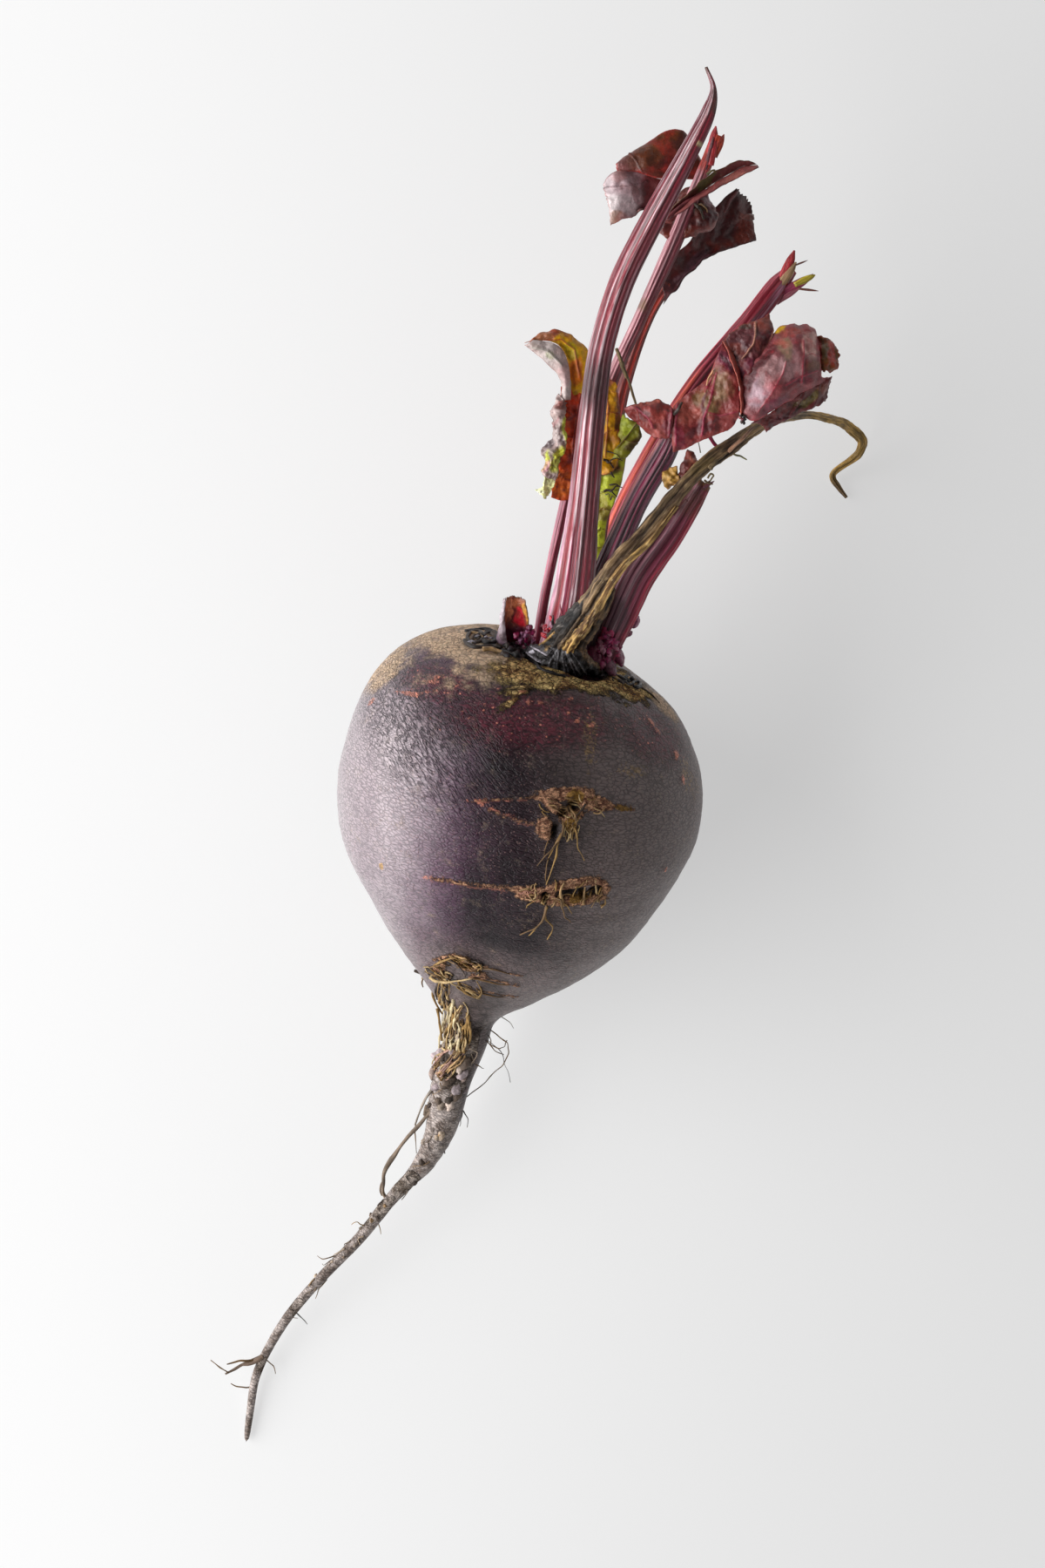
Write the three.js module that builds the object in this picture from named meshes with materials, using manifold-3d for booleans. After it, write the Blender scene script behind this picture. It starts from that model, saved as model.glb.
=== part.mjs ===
// A beetroot as pulled: a round root with its long tap root, and a trimmed bunch of leaf stalks
// with torn leaf remnants, lying on its side. Millimetres, +Z up. The root lies on the plane z = 0,
// +Y runs from the tap root's tip towards the crown, and the origin is in the flat spot that the
// globe rests on, close below its centre of mass.
import * as THREE from "three";
import { mergeVertices } from "three/addons/utils/BufferGeometryUtils.js";
import Module from "manifold-3d";

const wasm = await Module();
wasm.setup();

// Driving dimensions.
const GLOBE_RADIUS = 44;
const CROWN_TO_NECK = 93;
const WIDEST_BACK = 36; // the widest ring's distance behind the crown
const SHOULDER_POWER = 0.82; // 1 is a round shoulder, and less is a squarer one
const TAPER_POWER = 1.9; // how late the globe narrows to the neck
const NECK_RADIUS = 8;
const GAP = 0.35; // kept between two pieces that touch
const LEAF_THICKNESS = 1.2;
const STEPS_PER_SPAN = 2; // rings between two stations of a stalk
const UP = new THREE.Vector3(0, 0, 1);

// ---- shaping ----

// Moves every vertex of a straight solid to its place on the bent one.
function reshape(straight, place) {
  const position = straight.getAttribute("position");
  for (let i = 0; i < position.count; i++) {
    const { x, y, z } = place(new THREE.Vector3().fromBufferAttribute(position, i));
    position.setXYZ(i, x, y, z);
  }
  return straight;
}

function curveThrough(points) {
  return new THREE.CatmullRomCurve3(points.map(([x, y, z]) => new THREE.Vector3(x, y, z)));
}

// A point beside a curve: x across it, z out of its upper face.
function beside(centre, along, x, z) {
  const side = new THREE.Vector3().crossVectors(along, UP).normalize();
  const face = new THREE.Vector3().crossVectors(side, along);
  return centre.clone().addScaledVector(side, x).addScaledVector(face, z);
}

// A stalk or rootlet through stations [x, y, z, half width, half depth], with an oval section.
function stalk(stations, sides, grow = 0) {
  const route = curveThrough(stations);
  const sizes = curveThrough(stations.map(([, , , width, depth]) => [width, depth ?? width, 0]));
  const steps = (stations.length - 1) * STEPS_PER_SPAN;
  return reshape(new THREE.CylinderGeometry(1, 1, 1, sides, steps), (p) => {
    const t = p.y + 0.5;
    const size = sizes.getPoint(t);
    return beside(
      route.getPoint(t),
      route.getTangent(t),
      p.x * (size.x + grow),
      p.z * (size.y + grow),
    );
  });
}

// A leaf blade over a net of points, given as rows that run across the blade.
function blade(net, columns, rows, thickness = LEAF_THICKNESS) {
  const across = net.map(curveThrough);
  const surface = (u, v) =>
    new THREE.CatmullRomCurve3(across.map((row) => row.getPoint(u))).getPoint(v);
  const slope = 0.01;
  return reshape(new THREE.BoxGeometry(1, 1, 1, columns, rows, 1), (p) => {
    const u = p.x + 0.5;
    const v = p.y + 0.5;
    const [u0, u1] = [Math.max(u - slope, 0), Math.min(u + slope, 1)];
    const [v0, v1] = [Math.max(v - slope, 0), Math.min(v + slope, 1)];
    const overU = surface(u1, v).sub(surface(u0, v));
    const overV = surface(u, v1).sub(surface(u, v0));
    const normal = overU.cross(overV).normalize();
    return surface(u, v).addScaledVector(normal, p.z * thickness);
  });
}

// ---- solids ----

function solidOf(geometry) {
  const bare = new THREE.BufferGeometry().setAttribute("position", geometry.getAttribute("position"));
  bare.setIndex(geometry.index);
  const { attributes, index } = mergeVertices(bare, 1e-3);
  return new wasm.Manifold(
    new wasm.Mesh({
      numProp: 3,
      vertProperties: new Float32Array(attributes.position.array),
      triVerts: new Uint32Array(index.array),
    }),
  );
}

function geometryOf(solid) {
  const { vertProperties, triVerts } = solid.getMesh();
  return new THREE.BufferGeometry()
    .setAttribute("position", new THREE.BufferAttribute(vertProperties, 3))
    .setIndex(new THREE.BufferAttribute(triVerts, 1));
}

const beetroot = new THREE.Group();
const taken = []; // the room that the pieces placed so far keep, their gap included

// Adds a piece, cut back to a gap from the pieces placed before it.
function place(name, solid, room, colour, roughness) {
  const rest = taken.reduce((piece, other) => piece.subtract(other), solid);
  const [body] = rest.decompose().sort((a, b) => b.volume() - a.volume());
  taken.push(room);
  const material = new THREE.MeshStandardMaterial({ color: colour, roughness, metalness: 0 });
  const mesh = new THREE.Mesh(geometryOf(body), material);
  mesh.name = name;
  beetroot.add(mesh);
}

// ---- root: globe and tap root in one piece ----

// The growth axis: through the globe from the crown to the neck, then along the tap root.
const spine = curveThrough([
  [10, 34, 54],
  [-0.5, 3, 43],
  [-5.5, -24, 34],
  [-12, -50, 25.5],
  [-14, -60, 22.5],
  [-17.5, -70, 20],
  [-20.5, -83, 17],
  [-24.5, -91, 15],
  [-32.5, -100, 12.5],
  [-40.5, -110, 10],
  [-50, -120, 8],
  [-58.5, -130, 6],
  [-64.5, -140, 4],
  [-67, -146, 3],
  [-68.5, -155, 1.5],
  [-69.5, -162.5, 1],
]);
const ROOT_LENGTH = spine.getLength();

// The globe's outline as [radius, distance behind the crown]: a rounded shoulder from the crown to
// the widest ring, then a power curve that narrows to the neck.
function globeOutline() {
  const points = [];
  const shoulderSteps = 8;
  for (let i = 0; i <= shoulderSteps; i++) {
    const angle = ((i / shoulderSteps) * Math.PI) / 2;
    const radius = GLOBE_RADIUS * Math.sin(angle) ** SHOULDER_POWER;
    points.push([radius, WIDEST_BACK * (1 - Math.cos(angle) ** SHOULDER_POWER)]);
  }
  const taperSteps = 8;
  for (let i = 1; i < taperSteps; i++) {
    const share = i / taperSteps;
    const radius = NECK_RADIUS + (GLOBE_RADIUS - NECK_RADIUS) * (1 - share ** TAPER_POWER);
    points.push([radius, WIDEST_BACK + share * (CROWN_TO_NECK - WIDEST_BACK)]);
  }
  return points;
}

// Tap root: [radius, distance behind the neck], ending in a blunt tip.
const TAIL_OUTLINE = [
  [7, 2],
  [5.4, 9],
  [4.4, 27],
  [2.9, 40],
  [1.7, 53],
  [1.3, 85],
  [0.9, 125],
];
const outline = new THREE.SplineCurve(
  [
    ...globeOutline(),
    ...TAIL_OUTLINE.map(([radius, back]) => [radius, CROWN_TO_NECK + back]),
    [0, ROOT_LENGTH],
  ].map(([radius, back]) => new THREE.Vector2(radius, -back)),
);
const OUTLINE_STEPS = 46;

function rootSolid(grow) {
  const profile = outline.getPoints(OUTLINE_STEPS).reverse();
  profile.forEach((p) => (p.x = p.x < 1e-3 ? 0 : p.x + grow));
  const straight = new THREE.LatheGeometry(profile, 32);
  return solidOf(
    reshape(straight, (p) => {
      const share = THREE.MathUtils.clamp(-p.y / ROOT_LENGTH, 0, 1);
      const along = spine.getTangentAt(share).negate();
      return beside(spine.getPointAt(share), along, p.x, p.z);
    }),
  );
}

const ground = new THREE.BoxGeometry(400, 400, 20).translate(0, 0, -10);
const root = rootSolid(0).subtract(solidOf(ground));
place("beet_root", root, rootSolid(GAP), 0x3c2a33, 0.55);

// The place on the root's skin under a point seen from above, lifted off it.
const skin = new THREE.Mesh(geometryOf(root));
const down = new THREE.Vector3(0, 0, -1);
function onSkin(x, y, lift) {
  const [hit] = new THREE.Raycaster(new THREE.Vector3(x, y, 200), down).intersectObject(skin);
  return hit.point.z + lift;
}
const seated = (stations) => stations.map(([x, y, lift, ...size]) => [x, y, onSkin(x, y, lift), ...size]);

// ---- leaf stalks: each grows out of the crown ----

// Stations are [x, y, z, half width, half depth]; each stalk starts inside the crown and is cut there.
const STALKS = {
  stalk_long: [
    [9, 33, 55, 5.8, 4],
    [12.3, 48, 66, 4.8, 3.2],
    [15.2, 68, 76, 3.6, 2.8],
    [17.2, 90, 82, 3, 2.5],
    [18.8, 104, 85, 2.8, 2.4],
    [23, 119, 88, 2.8, 2.4],
    [30.5, 134, 90, 2.7, 2.2],
    [37.8, 147.5, 90, 2.2, 1.6],
    [43, 158.5, 89, 1.7, 1.1],
    [43.5, 164, 88, 1.1, 0.7],
    [42, 169, 87, 0.4, 0.4],
  ],
  stalk_rear_pink: [
    [10, 35, 47, 1.8, 1.6],
    [16, 77, 60, 1.6, 1.4],
    [20.5, 96.5, 66, 1.6, 1.3],
    [27.5, 112, 72, 1.5, 1.2],
    [35.5, 129.5, 76, 1.8, 1.1],
    [41, 143, 78, 1.4, 1],
    [45.5, 155, 79, 1.2, 0.9],
  ],
  stalk_rear_red: [
    [14.5, 36, 44, 1.9, 1.7],
    [20.5, 78, 53, 1.9, 1.6],
    [23.5, 97, 58, 2, 1.6],
    [29.3, 113.5, 64, 1.8, 1.5],
    [34, 121.5, 67, 1.8, 1.4],
  ],
  stalk_yellow_leaf: [
    [3.5, 34, 51, 1.5, 1.4],
    [5, 46, 56, 1.2, 1.2],
    [8, 60.5, 61, 1.2, 1.1],
    [11, 74, 64, 1.2, 1],
  ],
  stalk_wrinkled_leaf: [
    [14, 34, 54, 3, 2.6],
    [18.5, 50, 62, 2.9, 2.4],
    [23, 61, 68, 2.7, 2.2],
    [27.5, 70.5, 71, 2.6, 2],
    [33, 80, 74, 2.7, 1.8],
    [35, 84, 76, 2.3, 1.5],
  ],
  stalk_torn: [
    [13.5, 37, 38, 1.7, 1.7],
    [20.5, 62, 41, 1.8, 1.7],
    [31, 83, 43, 2, 1.7],
    [43, 101, 42, 2.3, 1.7],
    [55, 115, 39, 2.5, 1.6],
    [62, 124, 37, 2.6, 1.5],
    [66, 128.5, 35, 2.5, 1.2],
  ],
  stalk_short: [
    [19.5, 29, 52, 3.4, 3],
    [23.5, 43, 56, 3.8, 3.1],
    [27.5, 52.5, 58, 4, 3.1],
    [34.5, 62.5, 58, 3.8, 2.9],
    [39.5, 70.5, 57, 3.4, 2.4],
    [42.5, 75.5, 56, 2.9, 1.9],
  ],
  stalk_dried: [
    [9, 30, 66, 3.4, 2],
    [13, 40, 75, 2.6, 1.6],
    [17.5, 48, 78, 2.2, 1.4],
    [27, 60.5, 79, 2, 1.2],
    [40, 75, 78, 2, 1.2],
    [50, 83, 73, 1.7, 1.1],
    [58, 88.5, 62, 1.3, 0.9],
    [67.5, 92, 43, 1.1, 0.9],
    [75.5, 92.5, 26, 1.2, 0.9],
    [81.5, 91.5, 13, 1.4, 0.9],
    [85, 88.5, 7, 1.3, 0.9],
    [84, 85.5, 4.5, 1.1, 0.8],
    [78, 80.5, 2, 0.8, 0.7],
    [79.5, 77.5, 1.4, 0.7, 0.6],
    [81.5, 75, 0.8, 0.5, 0.5],
  ],
  stalk_stub: [
    [-1.5, 32, 53, 2.4, 1.8],
    [-1.5, 41, 62, 2, 1.3],
    [-1.5, 46.5, 66, 1.2, 0.8],
  ],
};
const STALK_COLOURS = {
  stalk_long: 0x8a4055,
  stalk_rear_pink: 0x8f4a58,
  stalk_rear_red: 0x6b2421,
  stalk_yellow_leaf: 0x8c2f45,
  stalk_wrinkled_leaf: 0x5a1f35,
  stalk_torn: 0x9c2a48,
  stalk_short: 0x7a2c46,
  stalk_dried: 0x6f5734,
  stalk_stub: 0x6a2a38,
};
for (const [name, stations] of Object.entries(STALKS)) {
  const whole = solidOf(stalk(stations, 10));
  place(name, whole, solidOf(stalk(stations, 10, GAP)), STALK_COLOURS[name], 0.45);
}

// ---- leaf remnants ----

const LEAVES = {
  leaf_top_left: [
    [[22, 147, 78], [29, 152, 78], [36, 155.5, 77], [39, 153.5, 76], [41.5, 147, 75]],
    [[18.5, 142.5, 79], [27, 145, 78], [33.5, 145, 77], [39.5, 144.5, 75], [44, 140, 74]],
    [[19.5, 136.5, 79], [26, 138, 79], [31.5, 136.5, 77], [38.5, 137.5, 75], [45, 135.5, 75]],
    [[20.5, 133, 80], [25.5, 134.5, 79], [31.5, 130.5, 78], [37, 130, 77], [43, 132, 76]],
  ],
  leaf_top_strip: [
    [[36, 138, 84], [42, 143.5, 84], [48, 147, 84], [52, 147.5, 83]],
    [[36, 137, 83], [43, 141.5, 82], [49.5, 145.5, 82], [54.5, 146.5, 82]],
    [[37, 135.5, 84], [43.5, 140.5, 84], [49.5, 144, 83], [54, 146, 83]],
  ],
  leaf_top_right: [
    [[36, 127, 68], [41, 133, 67], [46, 139.5, 66], [51.5, 144.5, 64]],
    [[35, 123, 69], [41, 129.5, 65], [48.5, 136, 62], [54.5, 140, 60]],
    [[35, 119.5, 69], [39, 124, 67], [47, 130, 64], [55.5, 132.5, 61]],
  ],
  leaf_yellow: [
    [[17, 56, 66], [18, 56, 66], [19, 56.5, 65], [20, 57, 65]],
    [[16.5, 64, 67], [18, 64.5, 66], [20, 65.5, 66], [22, 68, 66]],
    [[4, 71.5, 71], [10, 70.5, 68], [18, 72.5, 66], [23, 75, 67]],
    [[5, 79, 72], [11, 80, 69], [19, 80, 66], [25, 81, 68]],
    [[6, 87, 73], [12, 88.5, 70], [20, 88, 68], [28, 86, 70]],
    [[9, 94.5, 74], [13.5, 95, 71], [20, 94, 69], [23.5, 92, 71]],
    [[8, 100, 75], [13, 100, 73], [18, 99, 71], [21, 98.5, 71]],
    [[0.5, 105.5, 76], [6, 108.5, 76], [11, 107.5, 75], [14.5, 105, 74]],
  ],
  leaf_wrinkled: [
    [[24, 90, 79], [36, 91, 82], [43, 99.5, 83], [49, 109, 83], [57.5, 112, 82],
     [60.5, 109, 81], [67, 109.5, 80], [71.5, 104, 79]],
    [[27.5, 87.5, 80], [38, 88, 83], [44.5, 91.5, 84], [51, 97.5, 85], [56.5, 98.5, 85],
     [61.5, 98.5, 85], [66.5, 99, 84], [71.5, 98.5, 82]],
    [[30.5, 84, 79], [36, 80.5, 80], [43.5, 84, 81], [49.5, 85.5, 81], [54.5, 86.5, 80],
     [58, 85, 79], [64, 88, 78], [71, 92.5, 77]],
  ],
};
const LEAF_COLOURS = {
  leaf_top_left: 0x5c3238,
  leaf_top_right: 0x3a1d20,
  leaf_top_strip: 0x5a2a2a,
  leaf_yellow: 0xa8741e,
  leaf_wrinkled: 0x7a3d4e,
};
for (const [name, net] of Object.entries(LEAVES)) {
  const columns = 2 * (net[0].length - 1);
  const rows = 2 * (net.length - 1);
  const whole = solidOf(blade(net, columns, rows));
  const room = solidOf(blade(net, columns, rows, LEAF_THICKNESS + 2 * GAP));
  place(name, whole, room, LEAF_COLOURS[name], 0.5);
}

// ---- dry bases of old leaves, round the crown's rim ----

// Stations are [x, y, height over the skin, half width, half depth].
const OLD_BASES = {
  old_base_left: [
    [-13, 38, 0.5, 1.4, 1.1],
    [-9, 38, 1, 2, 1.4],
    [-4.5, 36, 1, 1.8, 1.4],
  ],
  old_base_front: [
    [0.5, 33, 0.8, 1.6, 1.3],
    [6, 31.5, 1.2, 2.4, 1.8],
    [11, 31, 1.2, 2.5, 1.8],
    [17, 30.5, 0.8, 1.8, 1.4],
  ],
  old_base_right: [
    [21, 31, 0.8, 1.5, 1.3],
    [25, 29.5, 0.8, 1.8, 1.4],
    [29, 27.5, 0.5, 1.4, 1.2],
  ],
};
for (const [name, stations] of Object.entries(OLD_BASES)) {
  const route = seated(stations);
  place(name, solidOf(stalk(route, 10)), solidOf(stalk(route, 10, GAP)), 0x2a1d16, 0.8);
}

// ---- thin rootlets and the dried thread ----

const ROOTLETS = {
  dried_thread: [
    [22, 105, 72.5, 0.45],
    [24.5, 98, 73.5, 0.45],
    [27.5, 89, 76, 0.45],
  ],
  upper_scar_rootlet: seated([
    [9.5, -3, 0.7, 0.5],
    [8.5, -9, 0.8, 0.45],
    [6.5, -18, 0.8, 0.4],
  ]),
  lower_scar_rootlet: seated([
    [9, -25, 0.7, 0.5],
    [6, -30, 0.9, 0.5],
    [0.5, -32.5, 0.9, 0.4],
  ]),
  side_root: [
    [-19.5, -74, 20, 1.1],
    [-23, -77, 19, 0.9],
    [-28, -83.5, 17, 0.8],
    [-34, -92, 15, 0.7],
    [-34.5, -97.5, 13.5, 0.7],
  ],
  tail_rootlet: [
    [-65.5, -141, 4.2, 1],
    [-70, -142.5, 5, 0.7],
    [-74, -144.5, 6, 0.4],
  ],
};
for (const [name, stations] of Object.entries(ROOTLETS)) {
  place(name, solidOf(stalk(stations, 8)), solidOf(stalk(stations, 8, GAP)), 0x6f5734, 0.8);
}

export default beetroot;
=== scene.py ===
import math
import random

import bpy
import numpy as np
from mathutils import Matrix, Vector
from mathutils.bvhtree import BVHTree


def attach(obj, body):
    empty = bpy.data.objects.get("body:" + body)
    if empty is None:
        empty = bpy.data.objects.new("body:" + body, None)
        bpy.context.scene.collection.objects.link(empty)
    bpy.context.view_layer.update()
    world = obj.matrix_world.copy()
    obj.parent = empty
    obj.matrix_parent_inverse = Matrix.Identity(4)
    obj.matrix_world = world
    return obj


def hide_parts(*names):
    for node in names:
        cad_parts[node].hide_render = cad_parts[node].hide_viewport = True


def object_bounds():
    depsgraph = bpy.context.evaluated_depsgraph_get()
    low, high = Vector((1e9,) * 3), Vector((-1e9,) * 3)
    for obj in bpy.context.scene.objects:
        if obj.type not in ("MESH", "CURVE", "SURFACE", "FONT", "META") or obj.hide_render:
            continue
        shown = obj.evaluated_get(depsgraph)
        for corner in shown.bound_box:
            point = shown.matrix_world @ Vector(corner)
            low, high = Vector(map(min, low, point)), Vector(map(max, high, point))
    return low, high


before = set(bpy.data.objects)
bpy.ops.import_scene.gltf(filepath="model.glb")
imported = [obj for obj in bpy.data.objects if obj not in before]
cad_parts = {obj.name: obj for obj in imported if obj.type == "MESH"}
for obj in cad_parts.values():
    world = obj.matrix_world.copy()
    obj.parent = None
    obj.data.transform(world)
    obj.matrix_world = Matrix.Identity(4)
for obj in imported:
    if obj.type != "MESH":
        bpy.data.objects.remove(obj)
cad_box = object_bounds()


# ---- The root: globe and tap root ----
# A biennial root that swelled below its crown in rings, and narrows to one long tap root. Its skin is
# thin, dark and leathery. It is corky and tan round the crown and on the scars that side roots left.
MM = 0.001  # shapes are worked out in millimetres, and become metres as their mesh is made
UP = np.array([0.0, 0.0, 1.0])
GLOBE_RADIUS = 44.0
CROWN_TO_NECK = 93.0
WIDEST_BACK = 36.0  # the widest ring's distance behind the crown
SHOULDER_POWER = 0.82  # 1 is a round shoulder, and less is a squarer one
TAPER_POWER = 1.9  # how late the globe narrows to the neck
NECK_RADIUS = 8.0
PAST_NECK = 4.0  # the rings lie closer together until this far past the neck
ROOT_SIDES = 256
GLOBE_RINGS = 255
TAIL_RINGS = 130
TOP_CROWDING = 0.35  # how much closer the skin's points lie on the upper side than below
FIRST_RING, LAST_RING = 0.6, 0.3  # how far the end rings lie from the crown and from the tip
FINE_STEPS = 4000  # the steps along a curve when its length is measured
ROOT_AXIS = (
    (10, 34, 54), (-0.5, 3, 43), (-5.5, -24, 34), (-12, -50, 25.5), (-14, -60, 22.5), (-17.5, -70, 20),
    (-20.5, -83, 17), (-24.5, -91, 15), (-32.5, -100, 12.5), (-40.5, -110, 10), (-50, -120, 8),
    (-58.5, -130, 6), (-64.5, -140, 4), (-67, -146, 3), (-68.5, -155, 1.5), (-69.5, -162.5, 1),
)
TAIL_OUTLINE = ((7, 2), (5.4, 9), (4.4, 27), (2.9, 40), (1.7, 53), (1.3, 85), (0.9, 125))


def through(points, at, evenness=0.25):
    """Points on a smooth curve through the given points, where at runs from 0 to 1."""
    p = np.array(points, float)
    p = np.vstack([2 * p[0] - p[1], p, 2 * p[-1] - p[-2]])
    place = np.clip(np.atleast_1d(at), 0, 1) * (len(p) - 3)
    i = np.minimum(place.astype(int), len(p) - 4)
    t = (place - i)[:, None]
    p0, p1, p2, p3 = (p[i + k] for k in range(4))
    d0, d1, d2 = (
        np.maximum(((b - a)[:, :3] ** 2).sum(1, keepdims=True), 1e-9) ** evenness
        for a, b in ((p0, p1), (p1, p2), (p2, p3))
    )
    m1 = ((p1 - p0) / d0 - (p2 - p0) / (d0 + d1) + (p2 - p1) / d1) * d1
    m2 = ((p2 - p1) / d1 - (p3 - p1) / (d1 + d2) + (p3 - p2) / d2) * d1
    return p1 + m1 * t + (3 * (p2 - p1) - 2 * m1 - m2) * t**2 + (2 * (p1 - p2) + m1 + m2) * t**3


def lumps(points, size, seed=0):
    """Smooth random lumps from -1 to 1, about size across, the same on every run."""
    p = np.asarray(points, float) / size + 31.7 * seed + 1000
    cell = np.floor(p).astype(np.int64)
    f = p - cell
    f = f * f * (3 - 2 * f)
    total = 0.0
    for corner in np.ndindex(2, 2, 2):
        c = cell + corner
        h = (c[..., 0] * 73856093) ^ (c[..., 1] * 19349663) ^ (c[..., 2] * 83492791)
        h = ((h & 0xFFFFFFFF) * 2654435761) & 0xFFFFFFFF
        value = ((h >> 9) & 0xFFFF) / 32767.5 - 1
        total = total + value * np.prod(np.where(corner, f, 1 - f), axis=-1)
    return total


def crumbs(points, size, seed=0, layers=3):
    """Lumps with finer lumps on them."""
    return sum(lumps(points, size / 2**k, seed + k) / 2**k for k in range(layers))


def ramp(value, low, high):
    """0 below low, 1 above high, and smooth between them."""
    t = np.clip((value - low) / (high - low), 0, 1)
    return t * t * (3 - 2 * t)


def near_line(x, y, line, width):
    """1 on a line over the plane, and fading to 0 over the width beside it."""
    best = np.full(np.shape(x), 1e9)
    for (x0, y0), (x1, y1) in zip(line, line[1:]):
        dx, dy = x1 - x0, y1 - y0
        t = np.clip(((x - x0) * dx + (y - y0) * dy) / (dx * dx + dy * dy), 0, 1)
        best = np.minimum(best, np.hypot(x - x0 - t * dx, y - y0 - t * dy))
    return np.exp(-((best / width) ** 2))


def ovals(x, y, stains):
    """1 inside ovals (x, y, half length, half width, any tilt in degrees), fading past their rims."""
    most = np.zeros(np.shape(x))
    for mid_x, mid_y, long, wide, *tilt in stains:
        tilted = math.radians(tilt[0]) if tilt else 0.0
        c, s = math.cos(tilted), math.sin(tilted)
        u, v = (x - mid_x) * c + (y - mid_y) * s, (y - mid_y) * c - (x - mid_x) * s
        most = np.maximum(most, np.exp(-(((u / long) ** 2 + (v / wide) ** 2) ** 1.5)))
    return most


def unit(v):
    return v / np.maximum(np.linalg.norm(v, axis=-1, keepdims=True), 1e-12)


def grid_normals(grid, wraps):
    """The direction off the surface at each point of a grid, rows first."""
    over_rows = np.gradient(grid, axis=0)
    over_cols = (np.roll(grid, -1, 1) - np.roll(grid, 1, 1)) / 2 if wraps else np.gradient(grid, axis=1)
    return unit(np.cross(over_rows, over_cols))


def make_piece(name, parts, material, node):
    """One piece from (points, faces, values) parts, riding on the root, in place of CAD nodes."""
    points, faces, start = [], [], 0
    values = {key: [] for part in parts for key in part[2]}
    for part_points, part_faces, part_values in parts:
        points.append(part_points)
        faces += [tuple(int(i) + start for i in face) for face in part_faces]
        for key in values:
            values[key].append(part_values[key])
        start += len(part_points)
    mesh = bpy.data.meshes.new(name)
    mesh.from_pydata((np.vstack(points) * MM).tolist(), [], faces)
    kinds = {1: ("FLOAT", "value"), 3: ("FLOAT_VECTOR", "vector"), 4: ("FLOAT_COLOR", "color")}
    for key, rows in values.items():
        data = np.concatenate(rows).astype(np.float32)
        kind, field = kinds[1 if data.ndim == 1 else data.shape[1]]
        mesh.attributes.new(key, kind, "POINT").data.foreach_set(field, data.ravel())
    mesh.materials.append(material)
    mesh.shade_smooth()
    mesh.update()
    piece = bpy.data.objects.new(name, mesh)
    bpy.context.scene.collection.objects.link(piece)
    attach(piece, "root")
    if node:
        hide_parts(*([node] if isinstance(node, str) else node))


def ring_faces(rings, sides):
    """Faces of a closed tube of rings, with a point at each end after the rings."""
    i, j = np.meshgrid(np.arange(rings - 1), np.arange(sides), indexing="ij")
    k = (j + 1) % sides
    quads = np.stack([i * sides + j, i * sides + k, (i + 1) * sides + k, (i + 1) * sides + j], -1)
    faces = [tuple(q) for q in quads.reshape(-1, 4).tolist()]
    first, last = rings * sides, rings * sides + 1
    for a in range(sides):
        b = (a + 1) % sides
        faces.append((first, b, a))
        faces.append((last, (rings - 1) * sides + a, (rings - 1) * sides + b))
    return faces


# The outline: a rounded shoulder from the crown to the widest ring, then a power curve to the neck,
# then the tap root.
axis_fine = through(ROOT_AXIS, np.linspace(0, 1, FINE_STEPS))
axis_length = np.r_[0, np.cumsum(np.linalg.norm(np.diff(axis_fine, axis=0), axis=1))]
outline = []
for angle in np.linspace(0, math.pi / 2, 9):
    squared = math.sin(angle) ** SHOULDER_POWER, 1 - max(math.cos(angle), 0) ** SHOULDER_POWER
    outline.append((GLOBE_RADIUS * squared[0], WIDEST_BACK * squared[1]))
for share in np.linspace(0, 1, 9)[1:-1]:
    radius = NECK_RADIUS + (GLOBE_RADIUS - NECK_RADIUS) * (1 - share**TAPER_POWER)
    outline.append((radius, WIDEST_BACK + share * (CROWN_TO_NECK - WIDEST_BACK)))
outline += [(radius, CROWN_TO_NECK + back) for radius, back in TAIL_OUTLINE]
outline.append((0.0, axis_length[-1]))
outline_fine = through(outline, np.linspace(0, 1, FINE_STEPS), 0)
outline_fine[:, 0] = np.maximum(outline_fine[:, 0], 0)
outline_length = np.r_[0, np.cumsum(np.linalg.norm(np.diff(outline_fine, axis=0), axis=1))]
neck_at = np.interp(CROWN_TO_NECK + PAST_NECK, outline_fine[:, 1], outline_length)
ring_at = np.r_[
    np.linspace(FIRST_RING, neck_at, GLOBE_RINGS, endpoint=False),
    np.linspace(neck_at, outline_length[-1] - LAST_RING, TAIL_RINGS),
]
ring_radius = np.interp(ring_at, outline_length, outline_fine[:, 0])
ring_back = np.interp(ring_at, outline_length, outline_fine[:, 1])


def along_axis(back):
    """The growth axis at a distance behind the crown: its centre, its right side and its upper side."""
    at = lambda b: np.stack([np.interp(b, axis_length, axis_fine[:, k]) for k in range(3)], -1)
    along = unit(at(back - 2) - at(back + 2))
    side = unit(np.cross(along, UP))
    return at(back), side, np.cross(side, along)


centre, side, face = along_axis(ring_back)
turn = np.linspace(0, 2 * math.pi, ROOT_SIDES, endpoint=False)
turn = turn - TOP_CROWDING * np.sin(turn)
root_grid = centre[:, None] + ring_radius[:, None, None] * (
    side[:, None] * np.sin(turn)[None, :, None] + face[:, None] * np.cos(turn)[None, :, None]
)
outward = grid_normals(root_grid, True)
back = np.broadcast_to(ring_back[:, None], root_grid.shape[:2])
radius = np.broadcast_to(ring_radius[:, None], root_grid.shape[:2])
x, y, z = (root_grid[..., k] for k in range(3))
facing_right, facing_up = outward[..., 0], outward[..., 2]  # from 1 to -1
on_globe = 1 - ramp(back, 84, 98)
on_top = ramp(facing_up, 0.0, 0.35)
rough = crumbs(root_grid, 2.0, 5)
uneven = crumbs(root_grid, 7, 11)

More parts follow.
